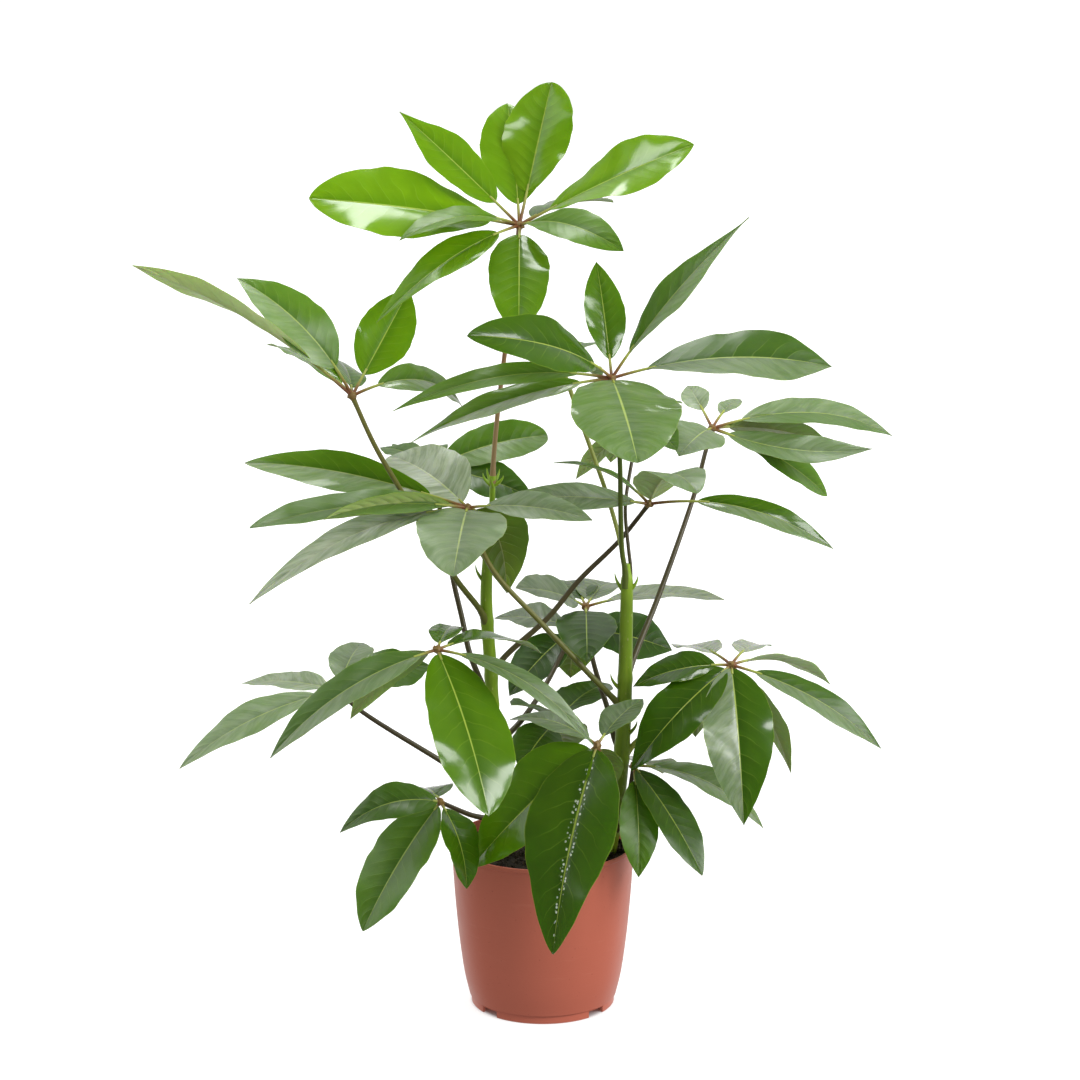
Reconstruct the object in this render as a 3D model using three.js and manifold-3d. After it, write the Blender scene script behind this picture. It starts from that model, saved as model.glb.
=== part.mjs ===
// A potted umbrella plant: two green stems in a round nursery pot, with long-stalked
// compound leaves whose leaflets radiate like the ribs of an umbrella.
// Millimetres, +Z up, front of the plant towards -Y. The origin is on the floor, on the
// pot's axis, which is also the middle of the foliage's spread.

import * as THREE from 'three';
import { mergeVertices } from 'three/addons/utils/BufferGeometryUtils.js';
import Module from 'manifold-3d';

const wasm = await Module();
wasm.setup();

// Clearance that neighbouring pieces keep where they touch
const GAP = 0.3;
const UP = new THREE.Vector3(0, 0, 1);

// Pot
const POT_SIDES = 30;
const POT_HEIGHT = 178;
const RIM_RADIUS = 97.8;
const LIP_HEIGHT = 5;
const LIP_CHAMFER = 1;
const WALL = 2.4;
const FOOT_HEIGHT = 9.5;
const FOOT_RADIUS = 76.2;
const FOOT_WALL = 3;
const FLOOR_UNDERSIDE = 7.5;
const FLOOR_TOP = 11;
const FLOOR_CHAMFER = 4;
const BODY_OUTLINE = [
  [78.4, FOOT_HEIGHT],
  [83.6, 32],
  [87.4, 58],
  [90.8, 88],
  [94, 127],
  [96.8, POT_HEIGHT - LIP_HEIGHT],
];
const NOTCH_BEARINGS = [48, 132, 228, 312];
const NOTCH_WIDTH = 22;
const NOTCH_HEIGHT = 7.2;
const NOTCH_CUT_DEPTH = 12;

// Soil
const SOIL_LEVEL = 165;
const SOIL_CROWN = 3;
// The soil's top from the wall to the middle, as shares of its radius and of its crown
const SOIL_TOP_OUTLINE = [[1, 0], [0.7, 0.33], [0.3, 1], [0, 1]];

// Stems: centre line and radius, from the buried end to the top
const STEM_SIDES = 10;
const STEM_EXTRA_STEPS = 2;
const STEM_CURVE_SAMPLES = 200;
const STEM_A = {
  path: [[-43, 0, 95], [-45, 0, 167], [-51, 0, 260], [-54, 0, 354], [-59, 0, 441], [-57, 0, 490],
    [-53, 0, 535], [-52, 0, 574]],
  radius: [8.4, 8.2, 7.6, 7, 6.5, 5.6, 3.4, 3.2],
};
const STEM_B = {
  path: [[64, 0, 95], [70, 0, 167], [80, 0, 235], [85, 0, 311], [87, 0, 409], [87.5, 0, 452],
    [87.4, 0, 480]],
  radius: [9, 9, 8.6, 8.2, 7.2, 6.6, 3.4],
};
// Pointed stipules: where each leaves the stem, and the tip's offset
const STIPULE_ROOT = 2.1;
const STIPULE_SIDES = 5;
const STIPULES_A = [
  { from: [-54, 0, 564], to: [-8, -4, 14] },
  { from: [-53, 0, 566], to: [-5, 7, 15] },
  { from: [-51, 0, 566], to: [6, 6, 14] },
  { from: [-50, 0, 564], to: [9, -3, 11] },
  { from: [-52, -1, 562], to: [-1, -9, 12] },
  { from: [-62, 0, 462], to: [-8, -2, 18] },
];
const STIPULES_B = [
  { from: [80, -1, 346], to: [-9, -3, 17] },
  { from: [90, -2, 296], to: [9, -3, 16] },
  { from: [83, 1, 452], to: [-8, 3, 18] },
  { from: [91, -1, 452], to: [8, -2, 17] },
];

// Leaf stalks and leaflets
const STALK_SIDES = 5;
const STALK_STEPS = 5;
const STALK_BASE_RADIUS = 3.3;
const STALK_TOP_RADIUS = 2.3;
const HUB_RADIUS = 4.6;
const STALKLET_RADIUS = 1.4;
const STALKLET_ROOT = 2.6;
const STALKLET_SHARE = 0.15;
const BLADE_THICKNESS = 0.9;
const MIDRIB_DEPTH = 0.9;
const FOLD = 0.14;
const TIP_HALF_WIDTH = 0.84;
// Height of the waves in a blade's edges as a share of its width there, their phase over
// the blade's length, and the step in phase from one leaflet to the next
const EDGE_WAVE = 0.035;
const WAVE_PHASE = 10.5;
const WAVE_STEP = 2.4;
// Slivers left by joining the pieces of a leaf are merged within this distance
const MERGE_WITHIN = 0.06;
const ARCH_SHARE = 0.07;
const TWIST = 12;
// Where along a blade its sections stand, from its root to its tip
const BLADE_STATIONS = [0, 0.07, 0.25, 0.5, 0.75, 0.92, 1];
const WIDEST_AT = 0.45;
const ROOT_FULLNESS = 0.6;
const TIP_FULLNESS = 0.9;

// One leaflet: its tip's offset from the hub, and its width. lean is how far its face leans
// from straight up towards the front, arch is how far its middle stands above the straight
// line from hub to tip, as a share of its length, and twist runs from hub to tip in degrees.
// root is the share of the length that is stalklet, widest is where along the blade it's
// widest, and tip is 0.4 for a blunt end and 1.8 for a long drawn-out one.
function blade(x, y, z, wide, {
  lean = 0,
  arch = ARCH_SHARE,
  twist = TWIST,
  root = STALKLET_SHARE,
  widest = WIDEST_AT,
  tip = TIP_FULLNESS,
} = {}) {
  return { reach: new THREE.Vector3(x, y, z), wide, lean, arch, twist, root, widest, tip };
}

// Compound leaves. Each stalk runs from inside its stem to the hub, its last point.
const LEAVES = [
  {
    name: 'leaf_top',
    stem: 'stem_a',
    stalk: [[-52, 0, 566], [-51, 1, 590], [-46, 2, 645], [-39, 5, 703], [-24, 10, 833]],
    baseRadius: 2.5,
    leaflets: [
      blade(-212, -30, 32, 92, { lean: 38, arch: 0.02, twist: -14, root: 0.14, widest: 0.6, tip: 0.7 }),
      blade(-119, -80, -3, 44, { lean: 12, arch: 0.12, root: 0.17 }),
      blade(-122, 30, 112, 53, { lean: 38, arch: 0.01, twist: 18, root: 0.2, tip: 1.1 }),
      blade(-140, -140, -76, 44, { lean: 18, arch: 0.08, twist: 55, tip: 1 }),
      blade(33, 60, 139, 80, { arch: 0, twist: -10, root: 0.23, widest: 0.6, tip: 0.6 }),
      blade(-13, 95, 113, 70, { widest: 0.5, tip: 0.8 }),
      blade(176, -20, 85, 76, { lean: 28, arch: 0.02, twist: 41, root: 0.18, widest: 0.6, tip: 0.8 }),
      blade(104, -90, -12, 44, { lean: 31, arch: 0.13, twist: 31, root: 0.1, widest: 0.55, tip: 0.8 }),
      blade(98, 110, 8, 60, { lean: -10 }),
      blade(0, -120, -88, 62, { arch: 0.03, root: 0.1, widest: 0.42, tip: 0.55 }),
    ],
  },
  {
    name: 'leaf_left_high',
    stem: 'stem_a',
    stalk: [[-58, 0, 412], [-64, -8, 430], [-90, -31, 472], [-146, -74, 579], [-169, -99, 628],
      [-189, -130, 684]],
    leaflets: [
      blade(-203, -90, 145, 54, { lean: -12, arch: 0.05, twist: 50, root: 0.2 }),
      blade(-112, 10, 116, 62, { lean: 40, arch: 0.13, twist: 20, root: 0.2 }),
      blade(-90, 90, 35, 48, { lean: -10 }),
      blade(-22, 100, 18, 40, { lean: -30 }),
      blade(54, 90, 91, 56, { lean: 37, arch: 0, root: 0.2, tip: 0.8 }),
      blade(107, 60, -22, 46, { lean: 30, arch: 0.22, twist: 0, root: 0.18, widest: 0.5, tip: 0.8 }),
    ],
  },
  {
    name: 'leaf_left_mid_front',
    stem: 'stem_b',
    stalk: [[85, 0, 322], [72, -6, 338], [59, -12, 353], [-2, -28, 424], [-54, -45, 489],
      [-77, -60, 554]],
    leaflets: [
      blade(-233, 84, 28, 44, { lean: 50, arch: 0.1, twist: 30, widest: 0.5, tip: 0.8 }),
      blade(-212, -118, 7, 50, { lean: 20, arch: 0.06, twist: 30, root: 0.12, widest: 0.6, tip: 0.7 }),
      blade(-139, -110, 14, 30, { lean: -55, root: 0.1 }),
      blade(-217, -82, -80, 38, { lean: 25, arch: 0.12, root: 0.14, tip: 1 }),
      blade(-82, 80, 36, 80, { lean: 25, arch: 0.1, root: 0.06, widest: 0.38, tip: 0.7 }),
      blade(-11, -150, -34, 90, { arch: 0.04, root: 0.05, widest: 0.36, tip: 0.7 }),
      blade(40, 20, -95, 68, { lean: -45, arch: 0.34, root: 0.1 }),
      blade(127, -30, -6, 44, { lean: 24 }),
    ],
  },
  {
    name: 'leaf_left_back',
    stem: 'stem_a',
    stalk: [[-54, 0, 322], [-60, 8, 338], [-77, 25, 376], [-85, 38, 410], [-95, 50, 451],
      [-117, 90, 562]],
    leaflets: [
      blade(122, 20, 31, 50, { lean: 44, arch: 0.1, root: 0.08, widest: 0.5, tip: 0.45 }),
      blade(104, -40, -22, 46, { lean: 36, root: 0.25, widest: 0.42, tip: 0.7 }),
      blade(-58, 60, 9, 40, { lean: 8 }),
      blade(-29, 140, -13, 60),
      blade(40, 130, -31, 60),
    ],
  },
  {
    name: 'leaf_left_low_front',
    stem: 'stem_a',
    stalk: [[-52, 0, 292], [-58, -14, 308], [-75, -62, 350], [-106, -150, 429]],
    leaflets: [
      blade(53, -116, -136, 88, { lean: -6, arch: 0.05, twist: 0, root: 0.03, widest: 0.55, tip: 0.68 }),
      blade(-166, -40, -101, 48, { lean: 25, arch: 0.11, root: 0.08 }),
      blade(-90, 40, -84, 38, { lean: -45, arch: 0.14, root: 0.1 }),
      blade(156, -40, -87, 24, { lean: 30, arch: 0.16, twist: 20, root: 0.12 }),
      blade(104, 110, -34, 46, { arch: 0.09, root: 0.1 }),
      blade(14, 90, 0, 34),
    ],
  },
  {
    name: 'leaf_left_far',
    stem: 'stem_a',
    stalk: [[-49, 0, 226], [-62, 0, 236], [-109, -10, 270], [-192, -20, 328], [-214, -20, 349]],
    leaflets: [
      blade(-164, -30, -76, 46, { lean: 25, arch: 0.09, root: 0.12 }),
      blade(-105, 60, -10, 44, { lean: 10, arch: 0.05, root: 0.1 }),
      blade(21, 120, 18, 46),
      blade(94, 60, 10, 56, { lean: 30 }),
    ],
  },
  {
    name: 'leaf_left_lowest',
    stem: 'stem_a',
    stalk: [[-46, 0, 192], [-53, -14, 204], [-76, -60, 226], [-105, -110, 256]],
    leaflets: [
      blade(-102, -20, -26, 46, { lean: 30, arch: 0.2, root: 0.03, widest: 0.36 }),
      blade(-78, -60, -118, 82, { lean: 5, arch: 0.04, twist: 5, root: 0.03, widest: 0.5, tip: 0.76 }),
      blade(27, -30, -83, 58, { lean: -15, arch: 0.09, root: 0.08, widest: 0.38, tip: 0.8 }),
      blade(-24, 90, -16, 50),
    ],
  },
  {
    name: 'leaf_front_low',
    stem: 'stem_b',
    stalk: [[75, 0, 200], [72, -14, 214], [68, -60, 255], [55, -130, 323]],
    leaflets: [
      blade(-45, -80, -195, 102, { lean: -4, arch: 0.05, root: 0.02, widest: 0.34, tip: 0.8 }),
      blade(-128, 22, -138, 84, { lean: 52, arch: 0.05, root: 0.04, widest: 0.36, tip: 0.8 }),
      blade(14, 76, -74, 38),
      blade(-89, 50, 12, 42, { lean: 8, arch: 0.12, root: 0.1 }),
      blade(48, 60, 31, 40),
    ],
  },
  {
    name: 'leaf_centre_low',
    stem: 'stem_a',
    stalk: [[-47, 0, 208], [-40, 8, 216], [-14, 25, 248], [13, 50, 292]],
    leaflets: [
      blade(-46, -70, 41, 46, { lean: 6 }),
      blade(-37, -90, -23, 52, { lean: 15 }),
      blade(60, 110, 12, 56),
      blade(10, 90, -60, 60),
    ],
  },
  {
    name: 'leaf_middle',
    stem: 'stem_b',
    stalk: [[83, 0, 274], [76, 10, 286], [70, 22, 311], [53, 55, 362], [46, 90, 410]],
    leaflets: [
      blade(0, -120, -28, 64),
      blade(-75, -40, 31, 62, { lean: 20 }),
      blade(149, 10, 5, 46, { lean: 4 }),
      blade(30, 90, 3, 50),
      blade(-22, 110, 0, 50),
    ],
  },
  {
    name: 'leaf_middle_back',
    stem: 'stem_a',
    stalk: [[-50, 0, 274], [-43, 10, 284], [-23, 36, 299], [0, 72, 323], [35, 160, 367]],
    leaflets: [
      blade(-88, 20, 6, 58, { lean: 10 }),
      blade(-71, -60, -59, 56, { lean: 20 }),
      blade(-4, 70, -76, 60),
      blade(106, -10, -22, 64, { lean: 36 }),
      blade(74, 100, -40, 60),
    ],
  },
  {
    name: 'leaf_right_high',
    stem: 'stem_b',
    stalk: [[86, -3.4, 455], [85.6, -5, 472], [82, -13, 496], [80, -28, 536], [78, -44, 607],
      [69, -80, 692]],
    baseRadius: 2.8,
    leaflets: [
      blade(-142, -130, 67, 60, { lean: 52, arch: 0.1, twist: -10, root: 0.18, widest: 0.45, tip: 0.7 }),
      blade(-217, -60, -21, 36, { lean: 25, arch: 0.1, root: 0.16, tip: 1.1 }),
      blade(-200, -50, -55, 42, { lean: 18, arch: 0.06, twist: 30, tip: 1.1 }),
      blade(-15, 60, 108, 44, { lean: -6, arch: 0.02, root: 0.16, widest: 0.5 }),
      blade(137, 30, 158, 50, { lean: 18, arch: 0.04, twist: 40, root: 0.15, widest: 0.34, tip: 1.8 }),
      blade(222, 20, 8, 76, { lean: 24, arch: 0.08, twist: 50, root: 0.16, widest: 0.55, tip: 1 }),
      blade(24, -90, -67, 112, { arch: 0.05, root: 0.03, widest: 0.44, tip: 0.62 }),
    ],
  },
  {
    name: 'leaf_centre_high_back',
    stem: 'stem_b',
    stalk: [[85.4, 3.4, 455], [84.6, 5, 474], [80, 13, 502], [67, 21, 548], [43, 26, 616],
      [18, 30, 688]],
    baseRadius: 2.3,
    leaflets: [
      blade(-21, 110, -8, 50),
      blade(33, 110, -3, 50),
      blade(43, 60, -31, 36),
    ],
  },
  {
    name: 'leaf_right_high_back',
    stem: 'stem_b',
    stalk: [[91, 0.6, 455], [91.4, 2, 474], [89, 7, 496], [86, 24, 534], [92, 42, 574],
      [102, 60, 618]],
    baseRadius: 1.9,
    leaflets: [
      blade(-67, 0, -61, 30, { lean: -50 }),
      blade(38, -20, -26, 46, { lean: 10 }),
      blade(-30, 40, -52, 44),
      blade(40, 90, 4, 46),
    ],
  },
  {
    name: 'leaf_right_mid',
    stem: 'stem_a',
    stalk: [[-54, 0, 352], [-44, 2, 374], [6, 10, 420], [37, 17, 457], [79, 27, 497],
      [99, 20, 524], [110, 8, 542]],
    leaflets: [
      blade(-148, -30, 14, 30, { lean: 52, arch: 0.06, twist: -35, root: 0.1 }),
      blade(-99, -10, 46, 24, { arch: 0.12 }),
      blade(46, -98, 34, 68, { arch: 0.22, root: 0.05, widest: 0.4, tip: 0.6 }),
      blade(190, -28, -41, 31, { lean: 38, arch: 0.16, root: 0.25 }),
    ],
  },
  {
    name: 'leaf_right_back',
    stem: 'stem_b',
    stalk: [[86, 0, 350], [98, 24, 378], [121, 60, 425], [162, 125, 524], [176, 170, 562],
      [184, 190, 584]],
    leaflets: [
      blade(203, 74, -24, 46, { lean: 30, arch: 0.13, root: 0.14 }),
      blade(131, 40, -26, 48, { lean: -40 }),
      blade(99, 70, -30, 44, { lean: -20 }),
      blade(169, -50, -12, 44, { lean: 30, arch: -0.09, root: 0.1, tip: 1 }),
      blade(128, 20, -80, 54, { lean: 28, widest: 0.6, tip: 0.8 }),
      blade(-40, -100, -9, 60, { lean: 20 }),
      blade(-24, 70, 33, 31, { lean: 20, root: 0.35 }),
      blade(34, 70, 18, 24, { root: 0.35 }),
    ],
  },
  {
    name: 'leaf_right_low',
    stem: 'stem_b',
    stalk: [[83, 0, 262], [96, 0, 284], [164, -25, 342], [195, -40, 382]],
    leaflets: [
      blade(10, -90, -144, 74, { arch: 0.05, root: 0.02, widest: 0.38, tip: 0.95 }),
      blade(-101, 10, -26, 48, { lean: 25, arch: 0.09 }),
      blade(-104, -50, -99, 60, { lean: 32, arch: 0.09, root: 0.05 }),
      blade(155, -20, -84, 36, { lean: 32, arch: 0.1, root: 0.14 }),
      blade(108, 60, -38, 40, { lean: -20, arch: 0.12 }),
      blade(-52, 110, -12, 50, { root: 0.3 }),
      blade(-34, 50, -93, 54),
      blade(66, 30, -126, 36, { lean: -20 }),
      blade(40, 110, -10, 40, { root: 0.3 }),
    ],
  },
  {
    name: 'leaf_right_lowest',
    stem: 'stem_b',
    stalk: [[72, 0, 180], [80, -6, 194], [90, -16, 230], [95, -24, 268]],
    leaflets: [
      blade(70, -70, -97, 52, { lean: 4, arch: 0.05, root: 0.04, tip: 0.8 }),
      blade(136, -10, -65, 48, { lean: 14, arch: 0.14, root: 0.1 }),
      blade(4, -72, -98, 42, { lean: -10, widest: 0.5 }),
      blade(34, 100, -40, 56),
    ],
  },
];

const MATERIALS = {
  pot: new THREE.MeshStandardMaterial({ color: 0xb3573f, roughness: 0.55, metalness: 0 }),
  soil: new THREE.MeshStandardMaterial({ color: 0x2c211a, roughness: 1, metalness: 0 }),
  stem: new THREE.MeshStandardMaterial({ color: 0x6f8f1e, roughness: 0.5, metalness: 0 }),
  leaf: new THREE.MeshStandardMaterial({ color: 0x3f7a1c, roughness: 0.35, metalness: 0 }),
};

// Closed geometries and their solids

// A closed skin over rings of points that all have the same count, capped at both ends.
// Faces in mirroredFaces get the other diagonal.
function loft(rings, mirroredFaces = []) {
  const count = rings[0].length;
  const positions = rings.flat().flatMap((p) => [p.x, p.y, p.z]);
  const index = [];
  for (let i = 0; i + 1 < rings.length; i += 1) {
    for (let k = 0; k < count; k += 1) {
      const a = i * count + k;
      const b = i * count + ((k + 1) % count);
      const c = a + count;
      const d = b + count;
      if (mirroredFaces.includes(k)) {
        index.push(a, b, d, a, d, c);
      } else {
        index.push(a, b, c, b, d, c);
      }
    }
  }
  const last = (rings.length - 1) * count;
  for (let k = 1; k + 1 < count; k += 1) {
    index.push(0, k + 1, k);
    index.push(last, last + k, last + k + 1);
  }
  const geometry = new THREE.BufferGeometry();
  geometry.setAttribute('position', new THREE.Float32BufferAttribute(positions, 3));
  geometry.setIndex(index);
  return geometry;
}

function solidOf(geometry) {
  const bare = geometry.clone();
  bare.deleteAttribute('normal');
  bare.deleteAttribute('uv');
  const merged = mergeVertices(bare, 1e-4);
  return new wasm.Manifold(new wasm.Mesh({
    numProp: 3,
    vertProperties: new Float32Array(merged.attributes.position.array),
    triVerts: new Uint32Array(merged.index.array),
  }));
}

function geometryOf(solid) {
  const mesh = solid.getMesh();
  const geometry = new THREE.BufferGeometry();
  geometry.setAttribute('position', new THREE.BufferAttribute(mesh.vertProperties, 3));
  geometry.setIndex(new THREE.BufferAttribute(mesh.triVerts, 1));
  geometry.computeVertexNormals();
  return geometry;
}

function joined(solids) {
  return solids.reduce((whole, solid) => whole.add(solid));
}

function named(name, solid, material) {
  const mesh = new THREE.Mesh(geometryOf(solid), material);
  mesh.name = name;
  return mesh;
}

// Tapered tube along a smooth curve through the given points. radiusAt takes 0 to 1.
function taperedTube(points, radiusAt, steps, sides) {
  const curve = new THREE.CatmullRomCurve3(points, false, 'centripetal');
  const across = new THREE.Vector3(0, -1, 0);
  const rings = [];
  for (let i = 0; i <= steps; i += 1) {
    const centre = curve.getPointAt(i / steps);
    const along = curve.getTangentAt(i / steps);
    const side = new THREE.Vector3().crossVectors(along, across).normalize();
    const front = new THREE.Vector3().crossVectors(side, along).normalize();
    const radius = radiusAt(i / steps);
    const ring = [];
    for (let k = 0; k < sides; k += 1) {
      const angle = (2 * Math.PI * k) / sides;
      ring.push(centre.clone()
        .addScaledVector(side, radius * Math.cos(angle))
        .addScaledVector(front, -radius * Math.sin(angle)));
    }
    rings.push(ring);
  }
  return loft(rings);
}

function vectors(points) {
  return points.map((p) => new THREE.Vector3(...p));
}

// Pot

function revolve(outline) {
  const profile = outline.map(([r, z]) => new THREE.Vector2(r, z));
  const geometry = new THREE.LatheGeometry(profile, POT_SIDES);
  geometry.rotateX(Math.PI / 2);
  return solidOf(geometry);
}

function innerRadius(outerRadius) {
  return outerRadius - WALL;
}

function bodyRadiusAt(z) {
  const upper = BODY_OUTLINE.findIndex(([, height]) => height >= z);
  const [lowRadius, lowHeight] = BODY_OUTLINE[upper - 1];
  const [highRadius, highHeight] = BODY_OUTLINE[upper];
  return THREE.MathUtils.mapLinear(z, lowHeight, highHeight, lowRadius, highRadius);
}

function pot() {
  const inside = BODY_OUTLINE.slice(1).map(([r, z]) => [innerRadius(r), z]).reverse();
  const shell = revolve([
    [0, FLOOR_UNDERSIDE],
    [FOOT_RADIUS - FOOT_WALL, FLOOR_UNDERSIDE],
    [FOOT_RADIUS - FOOT_WALL, 0],
    [FOOT_RADIUS, 0],
    [FOOT_RADIUS, FOOT_HEIGHT],
    ...BODY_OUTLINE,
    [RIM_RADIUS, POT_HEIGHT - LIP_HEIGHT + LIP_CHAMFER],
    [RIM_RADIUS, POT_HEIGHT - LIP_CHAMFER],
    [RIM_RADIUS - LIP_CHAMFER, POT_HEIGHT],
    [innerRadius(RIM_RADIUS), POT_HEIGHT],
    ...inside,
    [innerRadius(BODY_OUTLINE[0][0]), FLOOR_TOP + FLOOR_CHAMFER],
    [innerRadius(BODY_OUTLINE[0][0]) - FLOOR_CHAMFER, FLOOR_TOP],
    [0, FLOOR_TOP],
  ]);
  const notches = NOTCH_BEARINGS.map((bearing) => {
    const cutter = new THREE.BoxGeometry(NOTCH_WIDTH, NOTCH_CUT_DEPTH, 2 * NOTCH_HEIGHT);
    cutter.translate(0, -FOOT_RADIUS, 0);
    cutter.rotateZ(THREE.MathUtils.degToRad(bearing));
    return solidOf(cutter);
  });
  return shell.subtract(joined(notches));
}

// Stems, and the soil that they stand in

function stemTube(stem, growth) {
  const points = vectors(stem.path);
  const last = stem.radius.length - 1;
  const lengths = new THREE.CatmullRomCurve3(points, false, 'centripetal').getLengths(STEM_CURVE_SAMPLES);
  const total = lengths[lengths.length - 1];
  const stops = points.map((_, i) => lengths[Math.round((STEM_CURVE_SAMPLES * i) / last)] / total);
  const radiusAt = (t) => {
    const i = Math.min(last - 1, Math.max(0, stops.findIndex((s) => s >= t) - 1));
    const share = (t - stops[i]) / (stops[i + 1] - stops[i]);
    return THREE.MathUtils.lerp(stem.radius[i], stem.radius[i + 1], share) + growth;
  };
  return solidOf(taperedTube(points, radiusAt, last + STEM_EXTRA_STEPS, STEM_SIDES));
}

function stipule({ from, to }) {
  const root = new THREE.Vector3(...from);
  const offset = new THREE.Vector3(...to);
  const spike = new THREE.ConeGeometry(STIPULE_ROOT, offset.length(), STIPULE_SIDES);
  spike.translate(0, offset.length() / 2, 0);
  spike.applyQuaternion(new THREE.Quaternion().setFromUnitVectors(
    new THREE.Vector3(0, 1, 0),
    offset.clone().normalize(),
  ));
  spike.translate(root.x, root.y, root.z);
  return solidOf(spike);
}

function soil(stems) {
  const wallSide = BODY_OUTLINE.slice(1, -1).map(([r, z]) => [innerRadius(r) - GAP, z]);
  const topRadius = innerRadius(bodyRadiusAt(SOIL_LEVEL)) - GAP;
  const top = SOIL_TOP_OUTLINE.map(([r, z]) => [topRadius * r, SOIL_LEVEL + SOIL_CROWN * z]);
  const body = revolve([
    [0, FLOOR_TOP + GAP],
    [innerRadius(BODY_OUTLINE[0][0]) - FLOOR_CHAMFER - GAP, FLOOR_TOP + GAP],
    [innerRadius(BODY_OUTLINE[0][0]) - GAP, FLOOR_TOP + FLOOR_CHAMFER + GAP],
    ...wallSide,
    ...top,
  ]);
  return stems.reduce((filled, stem) => {
    const buried = stemTube(stem, GAP);
    return filled.subtract(buried).subtract(buried.translate([0, 0, -GAP]));
  }, body);
}

// Compound leaves

// Width of a blade at a share of its length, as a share of its greatest width
function widthAt(share, { widest, tip }) {
  if (share <= widest) {
    return Math.sin((Math.PI / 2) * (share / widest)) ** ROOT_FULLNESS;
  }
  const beyond = (share - widest) / (1 - widest);
  return Math.max(0, Math.cos((Math.PI / 2) * beyond)) ** tip;
}

// A leaflet is one loft of six-sided rings: a round stalklet that widens into a thin,
// folded, slightly waved blade. Ring points: left, middle, right on top, then below.
function leaflet(hub, spec, order) {
  const length = spec.reach.length();
  const axis = spec.reach.clone().normalize();
  const upright = UP.clone().addScaledVector(axis, -UP.dot(axis)).normalize();
  const towardsFront = new THREE.Vector3().crossVectors(axis, upright);
  if (axis.x < 0) {
    towardsFront.negate();
  }
  const lean = THREE.MathUtils.degToRad(spec.lean);
  const face = upright.multiplyScalar(Math.cos(lean)).addScaledVector(towardsFront, Math.sin(lean));

  const ringAt = (share, halfWidth, wave, round) => {
    const rise = 4 * spec.arch * length * share * (1 - share);
    const centre = hub.clone().addScaledVector(spec.reach, share).addScaledVector(face, rise);
    const slope = 4 * spec.arch * (1 - 2 * share);
    const along = axis.clone().addScaledVector(face, slope).normalize();
    const turn = THREE.MathUtils.degToRad(spec.twist * (share - 0.5));
    const normal = face.clone().addScaledVector(along, -face.dot(along)).normalize()
      .applyAxisAngle(along, turn);
    const across = new THREE.Vector3().crossVectors(along, normal);
    const edge = BLADE_THICKNESS / 2;
    const above = round ? STALKLET_RADIUS : edge;
    const below = round ? STALKLET_RADIUS : edge + MIDRIB_DEPTH * (1 - share);
    const lift = FOLD * halfWidth;
    const at = (sideways, height) => centre.clone()
      .addScaledVector(across, sideways)
      .addScaledVector(normal, height);
    return [
      at(-halfWidth, lift + wave + edge),
      at(0, above),
      at(halfWidth, lift - wave + edge),
      at(halfWidth, lift - wave - edge),
      at(0, -below),
      at(-halfWidth, lift + wave - edge),
    ];
  };

  const rings = [ringAt(STALKLET_ROOT / length, STALKLET_RADIUS, 0, true)];
  BLADE_STATIONS.forEach((share, i) => {
    const along = spec.root + share * (1 - spec.root);
    const width = widthAt(share, spec);
    const halfWidth = i === 0 ? STALKLET_RADIUS : Math.max(TIP_HALF_WIDTH, (width * spec.wide) / 2);
    const phase = WAVE_STEP * order + WAVE_PHASE * share;
    const wave = EDGE_WAVE * spec.wide * width * Math.sin(phase);
    rings.push(ringAt(along, halfWidth, wave, i === 0));
  });
  return solidOf(loft(rings, [1, 4]));
}

function compoundLeaf(leaf, stemSolids) {
  const points = vectors(leaf.stalk);
  const hub = points[points.length - 1];
  const base = leaf.baseRadius ?? STALK_BASE_RADIUS;
  const top = Math.min(base, STALK_TOP_RADIUS);
  const radiusAt = (t) => THREE.MathUtils.lerp(base, top, t);
  const stalk = solidOf(taperedTube(points, radiusAt, STALK_STEPS, STALK_SIDES));
  const knot = new THREE.IcosahedronGeometry(HUB_RADIUS, 0);
  knot.translate(hub.x, hub.y, hub.z);
  const leaflets = leaf.leaflets.map((spec, i) => leaflet(hub, spec, i));
  return joined([stalk, solidOf(knot), ...leaflets]).subtract(stemSolids[leaf.stem])
    .simplify(MERGE_WITHIN);
}

// The plant in its pot

const plant = new THREE.Group();
const stemSolids = {
  stem_a: joined([stemTube(STEM_A, GAP), ...STIPULES_A.map(stipule)]),
  stem_b: joined([stemTube(STEM_B, GAP), ...STIPULES_B.map(stipule)]),
};
plant.add(named('pot', pot(), MATERIALS.pot));
plant.add(named('soil', soil([STEM_A, STEM_B]), MATERIALS.soil));
plant.add(named('stem_a', joined([stemTube(STEM_A, 0), ...STIPULES_A.map(stipule)]), MATERIALS.stem));
plant.add(named('stem_b', joined([stemTube(STEM_B, 0), ...STIPULES_B.map(stipule)]), MATERIALS.stem));
LEAVES.forEach((leaf) => {
  plant.add(named(leaf.name, compoundLeaf(leaf, stemSolids), MATERIALS.leaf));
});

export default plant;
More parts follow.
